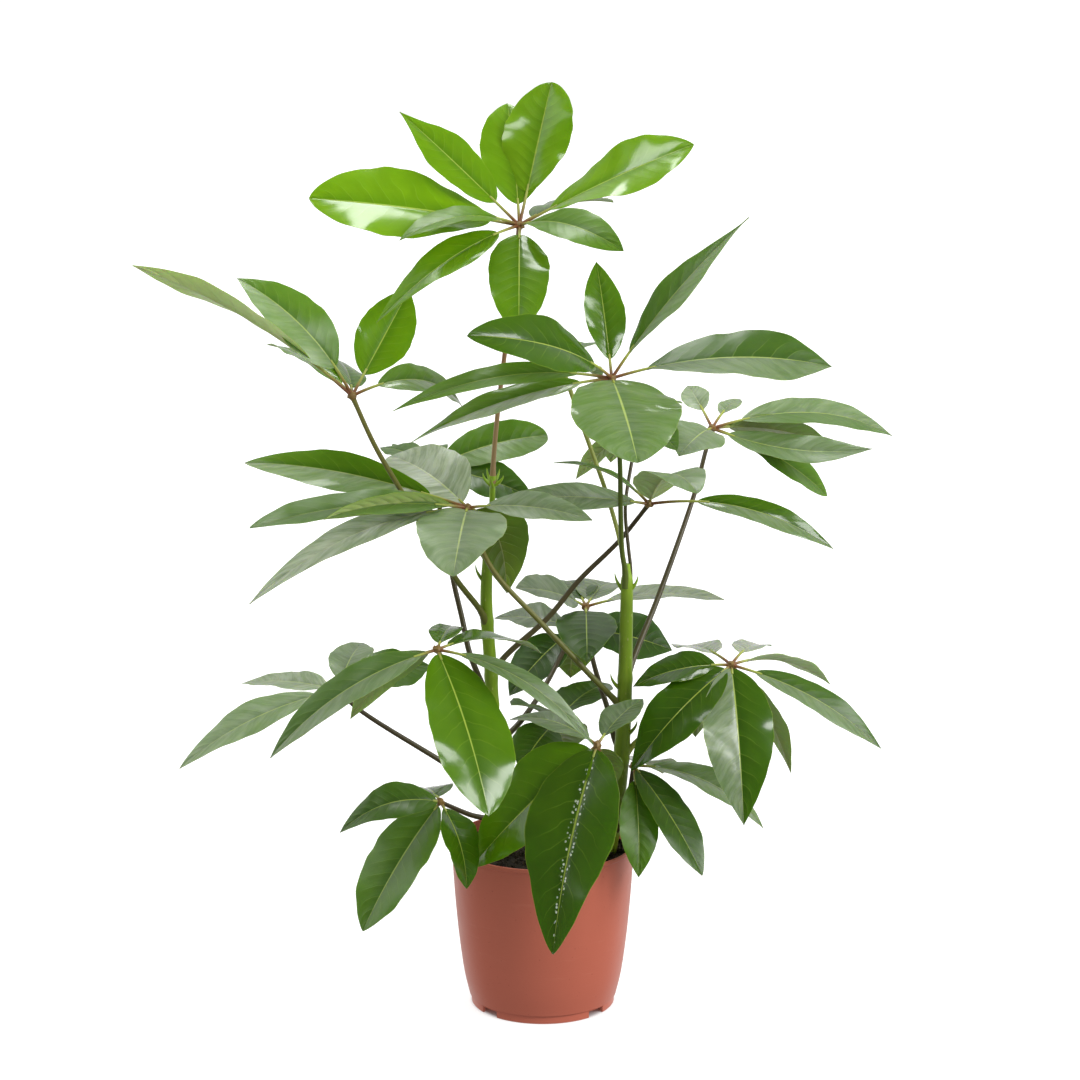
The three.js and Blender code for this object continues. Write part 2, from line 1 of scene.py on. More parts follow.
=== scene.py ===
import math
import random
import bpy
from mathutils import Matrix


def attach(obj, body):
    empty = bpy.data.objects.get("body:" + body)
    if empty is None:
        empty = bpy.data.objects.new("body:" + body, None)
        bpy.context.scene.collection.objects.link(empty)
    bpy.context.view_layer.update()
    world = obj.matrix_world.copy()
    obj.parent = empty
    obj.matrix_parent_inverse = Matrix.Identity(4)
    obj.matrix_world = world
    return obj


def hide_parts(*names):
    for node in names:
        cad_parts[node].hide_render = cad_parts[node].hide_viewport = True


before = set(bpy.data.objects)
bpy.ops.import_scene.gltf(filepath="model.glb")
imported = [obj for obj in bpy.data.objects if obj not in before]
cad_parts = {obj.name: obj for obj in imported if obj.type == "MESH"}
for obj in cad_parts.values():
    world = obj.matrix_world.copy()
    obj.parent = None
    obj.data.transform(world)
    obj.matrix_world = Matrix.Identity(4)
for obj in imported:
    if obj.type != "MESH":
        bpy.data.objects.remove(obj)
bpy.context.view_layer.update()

# Looks of a potted umbrella plant. Every leaf, stem, the pot and the peat get a finer mesh
# in the place of their solid, worked out from the same dimensions in millimetres.

from types import SimpleNamespace

import bpy
from mathutils import Matrix, Quaternion, Vector, noise

SEED = 11
MM = 0.001
UP = Vector((0, 0, 1))
SHARP_ANGLE = 50
CURVE_STEPS = 20
BALL_RINGS = 8
BALL_SIDES = 12

# Camera: the photograph's focal length and width are in pixels
CAMERA_PLACE = (-0.003, -3.5, 1.36)
CAMERA_PITCH = 13.72
FOCAL_PX = 3470
IMAGE_PX = 1080
SENSOR_MM = 36

# Studio: radiances, where 1 shows as white, and reaches from the pot's axis in metres
WALL_LIGHT = 0.95
ROOM_LIGHT = 0.72
BELOW_SHARE = 0.6
MIRRORED_WALL = 0.55
MIRRORED_ROOM = 0.06
MIRRORED_BELOW_SHARE = 1.8
BACKDROP_GLOW = 1.05
FLOOR_GLOW = 0.72
FLOOR_RADIUS = 8
FLOOR_BRIGHTENS_OVER = (0.3, 2.2)
FLOOR_DARK_WITHIN = (0.07, 0.08)

# Softboxes: name, place, aim and size in metres, and power in watts
SOFTBOXES = [
    ("key_right", (2.2, -0.9, 1.5), (0, 0, 0.45), (1.0, 1.3), 40),
    ("front_right", (1.15, -1.45, 1.85), (0, 0, 0.4), (0.5, 0.6), 12),
    ("top_back", (-0.15, 0.8, 2.4), (0, 0, 0.6), (0.7, 0.6), 13),
    ("top_left", (-0.87, -0.36, 2.35), (0, 0, 0.6), (0.45, 0.45), 5),
    ("rim_left", (-2.0, 0.6, 1.3), (0, 0, 0.45), (1.4, 1.6), 9),
]

# Pot. BODY_OUTLINE is the outside of its body, as (radius, height)
POT_SIDES = 144
POT_SHARP_ANGLE = 30
POT_HEIGHT = 178
RIM_RADIUS = 97.8
LIP_HEIGHT = 5
BODY_TOP = POT_HEIGHT - LIP_HEIGHT
BODY_STEPS = 30
WALL = 2.4
FOOT_HEIGHT = 9.5
FOOT_RADIUS = 76.2
FOOT_WALL = 3
FLOOR_UNDERSIDE = 7.5
FLOOR_TOP = 11
CORNER_FILL = 4
BODY_OUTLINE = [(78.4, FOOT_HEIGHT), (83.6, 32), (87.4, 58), (90.8, 88), (94, 127),
                (96.8, BODY_TOP)]
DRAIN_RADIUS = 2
NOTCH_BEARINGS = (48, 132, 228, 312)
NOTCH_WIDTH = 22
NOTCH_HEIGHT = 7.2
NOTCH_CUT_DEPTH = 12

# Peat. PEAT_LUMPS are the spacing and the height of each size of lump
SOIL_LEVEL = 165
SOIL_CROWN = 3
SOIL_BOTTOM = 150
SOIL_GAP = 0.3
SOIL_RINGS = 44
SOIL_SIDES = 120
PEAT_LUMPS = ((16, 1.4), (4, 0.9))
PEAT_SUNK = 0.6
CRUMB_COUNT = 420
CRUMB_SIZES = (0.8, 2.6)
CRUMB_LUMPS = 1.1
CRUMB_STANDS = 0.3
CRUMB_SUNK = 0.4
CRUMB_AREA_SHARE = 0.94

# Stems: centre line and radius, from the buried end to the top, and swellings at the joints
STEM_SIDES = 28
STEM_STEPS = 150
STEM_TRIM = 0.2
JOINT_ABOVE_STALK = 6
JOINT_SWELL = 0.7
JOINT_REACH = 5
YOUNG_FADE = 0.06
STEM_A = SimpleNamespace(
    path=[(-43, 0, 95), (-45, 0, 167), (-51, 0, 260), (-54, 0, 354), (-59, 0, 441), (-57, 0, 490),
          (-53, 0, 535), (-52, 0, 574)],
    radius=[8.4, 8.2, 7.6, 7, 6.5, 5.6, 3.4, 3.2],
)
STEM_B = SimpleNamespace(
    path=[(64, 0, 95), (70, 0, 167), (80, 0, 235), (85, 0, 311), (87, 0, 409), (87.5, 0, 452),
          (87.4, 0, 480)],
    radius=[9, 9, 8.6, 8.2, 7.2, 6.6, 3.4],
)

# Stipules: root, and the way from there to the tip
STIPULE_STEPS = 8
STIPULE_SIDES = 8
STIPULE_RADIUS = 2.2
STIPULE_TIP_RADIUS = 0.12
STIPULE_BEND = 0.25
STIPULES_A = [
    ((-54, 0, 564), (-8, -4, 14)), ((-53, 0, 566), (-5, 7, 15)), ((-51, 0, 566), (6, 6, 14)),
    ((-50, 0, 564), (9, -3, 11)), ((-52, -1, 562), (-1, -9, 12)), ((-62, 0, 462), (-8, -2, 18)),
]
STIPULES_B = [
    ((80, -1, 346), (-9, -3, 17)), ((90, -2, 296), (9, -3, 16)), ((83, 1, 452), (-8, 3, 18)),
    ((91, -1, 452), (8, -2, 17)),
]

# Leaf stalks and leaflets
STALK_SIDES = 12
STALK_STEPS = 40
STALK_BASE_RADIUS = 3.3
STALK_TOP_RADIUS = 2.3
STALK_FLARE = 1.5
STALK_FLARE_REACH = 0.05
STALK_SWELL = 0.25
STALK_SWELL_REACH = 0.03
HUB_RADIUS = 4.4
HUB_LUMPS = 0.5
STALKLET_SIDES = 10
STALKLET_STEPS = 8
STALKLET_RADIUS = 1.4
STALKLET_SHARE = 0.15
BLADE_STEPS = 46
BLADE_CROWDING = 0.09
BLADE_COLUMNS = (0, 0.035, 0.09, 0.2, 0.34, 0.5, 0.66, 0.8, 0.91, 1)
BLADE_HALF_THICKNESS = 0.35
MIDRIB_DEPTH = 1.3
MIDRIB_REACH = 2.0
GROOVE_DEPTH = 0.35
FOLD = 0.14
EDGE_UNEVENNESS = 0.02
EDGE_RIPPLE = 0.018
EDGE_WAVE = 0.035
WAVE_PHASE = 10.5
WAVE_STEP = 2.4
ARCH_SHARE = 0.07
WIDEST_AT = 0.45
ROOT_FULLNESS = 0.6
TIP_FULLNESS = 0.9
TIP_HALF_WIDTH = 0.5
VEIN_PAIRS = 10
VEIN_SWEEP = 0.17
VEIN_CURVE = 1.2
QUILT_HEIGHT = 0.3

# Each point of a leaf's mesh carries a value of every trait for the materials to read.
# The slots are in the order in which make_leaf gives a leaf its materials.
# The second trait is painted sheen: how far a point's colour is lightened towards silver-grey, as if it
# caught light.
TRAITS = ("age", "painted_sheen", "beads")
PLAIN = (0.0, 0.0, 0.0)
GLOSSY_SLOT, UNDER_SLOT, STALK_SLOT, STALKLET_SLOT, HUB_SLOT, SILKY_SLOT = range(6)


# A leaflet's sheen value is painted sheen: silver-grey painted into its colour in place of light
# catching it.
def blade(x, y, z, wide, lean=0, arch=ARCH_SHARE, twist=12, root=STALKLET_SHARE,
          widest=WIDEST_AT, tip=TIP_FULLNESS, age=None, painted_sheen=0.0, beads=0.0, silky=None):
    """A leaflet: its tip's offset from the hub, width, lean to the front, arch and twist.

    root is the share of its length that is stalklet, widest is where along the blade it's
    widest, and tip is 0.4 for a blunt end and 1.8 for a long drawn-out one. age and silky are
    its own where they differ from its leaf's. painted_sheen is how much silver-grey sheen is
    painted into its colour, or a pair for its two halves: the front or lower one is the first
    of a leaflet that points left, and the second of others. beads is how thickly pale dots
    stand beside its midrib.
    """
    halves = painted_sheen if isinstance(painted_sheen, tuple) else (painted_sheen, painted_sheen)
    return SimpleNamespace(reach=Vector((x, y, z)), wide=wide, lean=lean, arch=arch, twist=twist,
                           root=root, widest=widest, tip=tip, age=age, painted_sheen=halves,
                           beads=beads, silky=silky)


def leaf(name, stem, age, tone, stalk, leaflets, base=STALK_BASE_RADIUS, silky=False):
    """A compound leaf on stem a or b. stalk is its stalk's centre line, and base its radius.

    age runs from 0, young and bright, to 1, old and dark. tone names the stalk's colours.
    A silky leaf's upper faces are less glossy.
    """
    return SimpleNamespace(name=name, stem=stem, age=age, tone=tone, stalk=stalk,
                           leaflets=leaflets, base=base, silky=silky)


# Where a leaflet is given a sheen value, silver-grey is painted into its colour as painted sheen.
LEAVES = [
    leaf("leaf_top", "a", 0.0, "pink",
         [(-52, 0, 566), (-51, 1, 590), (-46, 2, 645), (-39, 5, 703), (-24, 10, 833)],
         [blade(-212, -30, 32, 92, 38, 0.02, -14, root=0.14, widest=0.6, tip=0.7),
          blade(-119, -80, -3, 44, 12, 0.12, root=0.17, age=0.35, silky=True),
          blade(-122, 30, 112, 53, 38, 0.01, 18, root=0.2, tip=1.1, age=0.15),
          blade(-140, -140, -76, 44, 18, 0.08, 55, tip=1.0, age=0.3),
          blade(33, 60, 139, 80, 0, 0, -10, root=0.23, widest=0.6, tip=0.6),
          blade(-13, 95, 113, 70, 0, widest=0.5, tip=0.8, age=0.15),
          blade(176, -20, 85, 76, 28, 0.02, 41, root=0.18, widest=0.6, tip=0.8),
          blade(104, -90, -12, 44, 31, 0.13, 31, root=0.1, widest=0.55, tip=0.8, age=0.35, silky=True),
          blade(98, 110, 8, 60, -10, age=0.5),
          blade(0, -120, -88, 62, 0, 0.03, root=0.1, widest=0.42, tip=0.55, age=0.35)],
         base=2.5),
    leaf("leaf_left_high", "a", 0.3, "olive",
         [(-58, 0, 412), (-64, -8, 430), (-90, -31, 472), (-146, -74, 579), (-169, -99, 628),
          (-189, -130, 684)],
         [blade(-203, -90, 145, 54, -12, 0.05, 50, root=0.2, age=0.0, painted_sheen=0.15),
          blade(-112, 10, 116, 62, 40, 0.13, 20, root=0.2, age=0.35, painted_sheen=(0.35, 0.0), silky=True),
          blade(-90, 90, 35, 48, -10),
          blade(-22, 100, 18, 40, -30),
          blade(54, 90, 91, 56, 37, 0, root=0.2, tip=0.8, age=0.2),
          blade(107, 60, -22, 46, 30, 0.22, 0, root=0.18, widest=0.5, tip=0.8, age=0.4,
                painted_sheen=(0.1, 0.45))]),
    leaf("leaf_left_mid_front", "b", 0.55, "olive",
         [(85, 0, 322), (72, -6, 338), (59, -12, 353), (-2, -28, 424), (-54, -45, 489),
          (-77, -60, 554)],
         [blade(-233, 84, 28, 44, 50, 0.1, 30, widest=0.5, tip=0.8, age=0.35,
                painted_sheen=(0.55, 0.0), silky=False),
          blade(-212, -118, 7, 50, 20, 0.06, 30, root=0.12, widest=0.6, tip=0.7, painted_sheen=0.1),
          blade(-139, -110, 14, 30, -55, 0.07, root=0.1),
          blade(-217, -82, -80, 38, 25, 0.12, root=0.14, tip=1.0, age=0.65, painted_sheen=1.0),
          blade(-82, 80, 36, 80, 25, 0.1, root=0.06, widest=0.38, tip=0.7, age=0.8, painted_sheen=0.9),
          blade(-11, -150, -34, 90, 0, 0.04, root=0.05, widest=0.36, tip=0.7, age=0.6, painted_sheen=0.38),
          blade(40, 20, -95, 68, -45, 0.34, root=0.1, age=1.0),
          blade(127, -30, -6, 44, 24, age=0.7, painted_sheen=0.4)],
         silky=True),
    leaf("leaf_left_back", "a", 0.7, "dark",
         [(-54, 0, 322), (-60, 8, 338), (-77, 25, 376), (-85, 38, 410), (-95, 50, 451),
          (-117, 90, 562)],
         [blade(122, 20, 31, 50, 44, 0.1, root=0.08, widest=0.5, tip=0.45, age=0.4, painted_sheen=(0.0, 0.35)),
          blade(104, -40, -22, 46, 36, root=0.25, widest=0.42, tip=0.7),
          blade(-58, 60, 9, 40, 8),
          blade(-29, 140, -13, 60, 0),
          blade(40, 130, -31, 60, 0)],
         silky=True),
    leaf("leaf_left_low_front", "a", 0.6, "olive",
         [(-52, 0, 292), (-58, -14, 308), (-75, -62, 350), (-106, -150, 429)],
         [blade(53, -116, -136, 88, -6, 0.05, 0, root=0.03, widest=0.55, tip=0.68, age=0.45),
          blade(-166, -40, -101, 48, 25, 0.11, root=0.08, age=0.6, painted_sheen=(0.35, 0.05), silky=True),
          blade(-90, 40, -84, 38, -45, 0.14, root=0.1, age=0.75),
          blade(156, -40, -87, 24, 30, 0.16, 20, root=0.12, age=0.7, painted_sheen=0.25, silky=True),
          blade(104, 110, -34, 46, 0, 0.09, root=0.1),
          blade(14, 90, 0, 34, 0)]),
    leaf("leaf_left_far", "a", 0.7, "dark",
         [(-49, 0, 226), (-62, 0, 236), (-109, -10, 270), (-192, -20, 328), (-214, -20, 349)],
         [blade(-164, -30, -76, 46, 25, 0.09, root=0.12, age=0.5, painted_sheen=0.45),
          blade(-105, 60, -10, 44, 10, 0.05, root=0.1, painted_sheen=0.7),
          blade(21, 120, 18, 46, 0, painted_sheen=0.35),
          blade(94, 60, 10, 56, 30)],
         silky=True),
    leaf("leaf_left_lowest", "a", 0.8, "dark",
         [(-46, 0, 192), (-53, -14, 204), (-76, -60, 226), (-105, -110, 256)],
         [blade(-102, -20, -26, 46, 30, 0.2, root=0.03, widest=0.36, age=0.7, silky=True),
          blade(-78, -60, -118, 82, 5, 0.04, 5, root=0.03, widest=0.5, tip=0.76, age=0.4, silky=True),
          blade(27, -30, -83, 58, -15, 0.09, root=0.08, widest=0.38, tip=0.8, age=0.8),
          blade(-24, 90, -16, 50, 0)]),
    leaf("leaf_front_low", "b", 0.9, "pink",
         [(75, 0, 200), (72, -14, 214), (68, -60, 255), (55, -130, 323)],
         [blade(-45, -80, -195, 102, -4, 0.05, root=0.02, widest=0.34, tip=0.8, age=0.75, beads=0.85),
          blade(-128, 22, -138, 84, 52, 0.05, root=0.04, widest=0.36, tip=0.8, age=0.35),
          blade(14, 76, -74, 38, 0),
          blade(-89, 50, 12, 42, 8, 0.12, root=0.1, painted_sheen=0.3, silky=True),
          blade(48, 60, 31, 40, 0, painted_sheen=0.2, silky=True)]),
    leaf("leaf_centre_low", "a", 0.9, "dark",
         [(-47, 0, 208), (-40, 8, 216), (-14, 25, 248), (13, 50, 292)],
         [blade(-46, -70, 41, 46, 6),
          blade(-37, -90, -23, 52, 15),
          blade(60, 110, 12, 56, 0),
          blade(10, 90, -60, 60, 0)],
         silky=True),
    leaf("leaf_middle", "b", 1.0, "dark",
         [(83, 0, 274), (76, 10, 286), (70, 22, 311), (53, 55, 362), (46, 90, 410)],
         [blade(0, -120, -28, 64, 0),
          blade(-75, -40, 31, 62, 20, painted_sheen=0.4),
          blade(149, 10, 5, 46, 4, painted_sheen=0.7),
          blade(30, 90, 3, 50, 0, painted_sheen=0.4),
          blade(-22, 110, 0, 50, 0)],
         silky=True),
    leaf("leaf_middle_back", "a", 1.0, "dark",
         [(-50, 0, 274), (-43, 10, 284), (-23, 36, 299), (0, 72, 323), (35, 160, 367)],
         [blade(-88, 20, 6, 58, 10, painted_sheen=0.4),
          blade(-71, -60, -59, 56, 20),
          blade(-4, 70, -76, 60, 0),
          blade(106, -10, -22, 64, 36),
          blade(74, 100, -40, 60, 0)],
         silky=True),
    leaf("leaf_right_high", "b", 0.4, "green",
         [(86, -3.4, 455), (85.6, -5, 472), (82, -13, 496), (80, -28, 536), (78, -44, 607),
          (69, -80, 692)],
         [blade(-142, -130, 67, 60, 52, 0.1, -10, root=0.18, widest=0.45, tip=0.7, age=0.8),
          blade(-217, -60, -21, 36, 25, 0.1, root=0.16, tip=1.1, age=0.25, silky=True),
          blade(-200, -50, -55, 42, 18, 0.06, 30, tip=1.1, age=0.2, painted_sheen=(0.9, 0.05)),
          blade(-15, 60, 108, 44, -6, 0.02, root=0.16, widest=0.5, age=0.45),
          blade(137, 30, 158, 50, 18, 0.04, 40, root=0.15, widest=0.34, tip=1.8, age=0.5,
                painted_sheen=(0.0, 0.4), silky=True),
          blade(222, 20, 8, 76, 24, 0.08, 50, root=0.16, widest=0.55, tip=1.0, age=0.75,
                painted_sheen=(0.0, 0.3), silky=True),
          blade(24, -90, -67, 112, 0, 0.05, root=0.03, widest=0.44, tip=0.62, age=0.5, painted_sheen=0.28)],
         base=2.8),
    leaf("leaf_centre_high_back", "b", 0.6, "light",
         [(85.4, 3.4, 455), (84.6, 5, 474), (80, 13, 502), (67, 21, 548), (43, 26, 616), (18, 30, 688)],
         [blade(-21, 110, -8, 50, 0),
          blade(33, 110, -3, 50, 0),
          blade(43, 60, -31, 36, 0)],
         base=2.3, silky=True),
    leaf("leaf_right_high_back", "b", 0.6, "dark",
         [(91, 0.6, 455), (91.4, 2, 474), (89, 7, 496), (86, 24, 534), (92, 42, 574), (102, 60, 618)],
         [blade(-67, 0, -61, 30, -50),
          blade(38, -20, -26, 46, 10),
          blade(-30, 40, -52, 44, 0),
          blade(40, 90, 4, 46, 0)],
         base=1.9, silky=True),
    leaf("leaf_right_mid", "a", 0.55, "dark",
         [(-54, 0, 352), (-44, 2, 374), (6, 10, 420), (37, 17, 457), (79, 27, 497), (99, 20, 524),
          (110, 8, 542)],
         [blade(-148, -30, 14, 30, 52, 0.06, -35, root=0.1, age=0.7, painted_sheen=0.6),
          blade(-99, -10, 46, 24, 0, 0.12),
          blade(46, -98, 34, 68, 0, 0.22, root=0.05, widest=0.4, tip=0.6, painted_sheen=0.3),
          blade(190, -28, -41, 31, 38, 0.16, root=0.25, age=0.7, painted_sheen=(0.0, 0.35), silky=False)],
         silky=True),
    leaf("leaf_right_back", "b", 0.6, "dark",
         [(86, 0, 350), (98, 24, 378), (121, 60, 425), (162, 125, 524), (176, 170, 562),
          (184, 190, 584)],
         [blade(203, 74, -24, 46, 30, 0.13, root=0.14, painted_sheen=(0.4, 0.15)),
          blade(131, 40, -26, 48, -40),
          blade(99, 70, -30, 44, -20),
          blade(169, -50, -12, 44, 30, -0.09, root=0.1, tip=1.0, painted_sheen=0.25),
          blade(128, 20, -80, 54, 28, widest=0.6, tip=0.8, age=0.35),
          blade(-40, -100, -9, 60, 20, painted_sheen=0.4),
          blade(-24, 70, 33, 31, 20, root=0.35, painted_sheen=0.6),
          blade(34, 70, 18, 24, 0, root=0.35, painted_sheen=0.5)],
         silky=True),
    leaf("leaf_right_low", "b", 0.9, "light",
         [(83, 0, 262), (96, 0, 284), (164, -25, 342), (195, -40, 382)],
         [blade(10, -90, -144, 74, 0, 0.05, root=0.02, widest=0.38, tip=0.95, age=0.8,
                painted_sheen=(0.0, 0.45)),
          blade(-101, 10, -26, 48, 25, 0.09),
          blade(-104, -50, -99, 60, 32, 0.09, root=0.05),
          blade(155, -20, -84, 36, 32, 0.1, root=0.14, age=0.75, painted_sheen=(0.0, 0.35), silky=True),
          blade(108, 60, -38, 40, -20, 0.12, age=0.2, painted_sheen=0.7),
          blade(-52, 110, -12, 50, 0, root=0.3, painted_sheen=0.9),
          blade(-34, 50, -93, 54, 0),
          blade(66, 30, -126, 36, -20, age=0.5),
          blade(40, 110, -10, 40, 0, root=0.3, painted_sheen=0.9)]),
    leaf("leaf_right_lowest", "b", 0.85, "dark",
         [(72, 0, 180), (80, -6, 194), (90, -16, 230), (95, -24, 268)],
         [blade(70, -70, -97, 52, 4, 0.05, root=0.04, tip=0.8, age=0.8, silky=True),
          blade(136, -10, -65, 48, 14, 0.14, root=0.1, age=0.5, painted_sheen=0.35),
          blade(4, -72, -98, 42, -10, widest=0.5, age=0.4, silky=True),
          blade(34, 100, -40, 56, 0)]),
]


# Curves and meshes

def turns(count):
    """Evenly spread angles of a full turn."""
    return [2 * math.pi * k / count for k in range(count)]


def polar(radius, turn, z):
    """The point at a distance from the axis, an angle round it and a height."""
    return Vector((radius * math.cos(turn), radius * math.sin(turn), z))


def smooth_between(stops, x):
    """Monotone cubic through (x, y) stops."""
    xs = [stop[0] for stop in stops]
    ys = [stop[1] for stop in stops]
    if x <= xs[0]:
        return ys[0]
    if x >= xs[-1]:
        return ys[-1]
    slopes = [(ys[i + 1] - ys[i]) / (xs[i + 1] - xs[i]) for i in range(len(xs) - 1)]

    def tangent(i):
        if i in (0, len(xs) - 1):
            return slopes[min(i, len(slopes) - 1)]
        before, after = slopes[i - 1], slopes[i]
        return 0 if before * after <= 0 else 2 * before * after / (before + after)

    i = next(k for k in range(len(xs) - 1) if xs[k + 1] >= x)
    gap = xs[i + 1] - xs[i]
    t = (x - xs[i]) / gap
    return ((1 + 2 * t) * (1 - t) ** 2 * ys[i] + t * (1 - t) ** 2 * gap * tangent(i)
            + t * t * (3 - 2 * t) * ys[i + 1] + t * t * (t - 1) * gap * tangent(i + 1))


def between(p, q, u, v, t):
    """The point at t on the line that passes p at u and q at v."""
    return p * ((v - t) / (v - u)) + q * ((t - u) / (v - u))


def smooth_path(points, steps):
    """Points at even distances along a centripetal Catmull-Rom curve."""
    points = [Vector(p) for p in points]
    points = [2 * points[0] - points[1], *points, 2 * points[-1] - points[-2]]
    fine = []
    for i in range(1, len(points) - 2):
        p0, p1, p2, p3 = points[i - 1:i + 3]
        t0 = 0
        t1 = t0 + math.sqrt((p1 - p0).length)
        t2 = t1 + math.sqrt((p2 - p1).length)
        t3 = t2 + math.sqrt((p3 - p2).length)
        for k in range(CURVE_STEPS):
            t = t1 + (t2 - t1) * k / CURVE_STEPS
            a1 = between(p0, p1, t0, t1, t)
            a2 = between(p1, p2, t1, t2, t)
            a3 = between(p2, p3, t2, t3, t)
            b1 = between(a1, a2, t0, t2, t)
            b2 = between(a2, a3, t1, t3, t)
            fine.append(between(b1, b2, t1, t2, t))
    fine.append(points[-2])
    lengths = [0]
    for before, after in zip(fine, fine[1:]):
        lengths.append(lengths[-1] + (after - before).length)
    even = []
    k = 0
    for i in range(steps + 1):
        want = lengths[-1] * i / steps
        while k < len(fine) - 2 and lengths[k + 1] < want:
            k += 1
        share = (want - lengths[k]) / (lengths[k + 1] - lengths[k])
        even.append(fine[k].lerp(fine[k + 1], share))
    return even


class Skin:
    """Collects the vertices, faces, UVs and traits of one piece, in millimetres."""

    def __init__(self):
        self.points = []
        self.faces = []
        self.slots = []
        self.uvs = []
        self.traits = []

    def grid(self, rows, slot, uv=None, wrap=False, flip=False, traits=None, caps=False):
        """Quads over rows of points, with traits for each column.

        uv(i, k) gives a corner's place on the surface.
        """
        start = len(self.points)
        width = len(rows[0])
        for row in rows:
            self.points.extend(row)
            self.traits.extend(traits or [PLAIN] * width)
        for i in range(len(rows) - 1):
            for k in range(width if wrap else width - 1):
                corners = [(i, k), (i, k + 1), (i + 1, k + 1), (i + 1, k)]
                if flip:
                    corners.reverse()
                self.faces.append([start + r * width + c % width for r, c in corners])
                self.slots.append(slot)
                self.uvs.extend(uv(r, c) if uv else (r / len(rows), c / width) for r, c in corners)
        if caps:
            last = start + (len(rows) - 1) * width
            ends = [range(start + width - 1, start - 1, -1), range(last, last + width)]
            for i, end in enumerate(ends):
                face = list(end)
                if flip:
                    face.reverse()
                self.faces.append(face)
                self.slots.append(slot)
                self.uvs.extend([(i, k / width) for k in range(width)])
        return start

    def tube(self, centres, radius_at, sides, slot):
        """A closed tube along centres. radius_at takes 0 to 1."""
        steps = len(centres) - 1
        rows = []
        side = None
        for i, centre in enumerate(centres):
            along = centres[min(i + 1, steps)] - centres[max(i - 1, 0)]
            along.normalize()
            side = along.cross(Vector((0, -1, 0))) if side is None else side
            side = (side - along * side.dot(along)).normalized()
            front = side.cross(along)
            radius = radius_at(i / steps)
            rows.append([centre + side * (radius * math.cos(a)) - front * (radius * math.sin(a))
                         for a in turns(sides)])
        self.grid(rows, slot, lambda r, c: (r / steps, c / sides), wrap=True, caps=True)

    def ball(self, centre, radius, slot, lumps):
        """A lumpy ball with small flat ends."""
        rows = []
        for i in range(1, BALL_RINGS):
            tilt = math.pi * i / BALL_RINGS
            ring = []
            for turn in turns(BALL_SIDES):
                way = polar(math.sin(tilt), turn, -math.cos(tilt))
                swell = 1 + lumps * noise.noise(way * 1.7 + centre)
                ring.append(centre + way * radius * swell)
            rows.append(ring)
        self.grid(rows, slot, wrap=True, caps=True)

    def piece(self, name, materials, sharp_angle=SHARP_ANGLE):
        """The Blender object, in metres."""
        mesh = bpy.data.meshes.new(name)
        mesh.from_pydata([p * MM for p in self.points], [], self.faces)
        mesh.polygons.foreach_set("material_index", self.slots)
        layer = mesh.uv_layers.new(name="surface")
        layer.data.foreach_set("uv", [x for uv in self.uvs for x in uv])
        for i, trait in enumerate(TRAITS):
            values = mesh.attributes.new(trait, "FLOAT", "POINT")
            values.data.foreach_set("value", [traits[i] for traits in self.traits])
        mesh.shade_smooth()
        mesh.set_sharp_from_angle(angle=math.radians(sharp_angle))
        for material in materials:
            mesh.materials.append(material)
        mesh.validate()
        made = bpy.data.objects.new(name, mesh)
        bpy.context.scene.collection.objects.link(made)
        return made


def place(made, node):
    """Puts a piece on the only body, in the place of a CAD node, which it hides."""
    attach(made, "root")
    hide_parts(node)


# Shader nodes

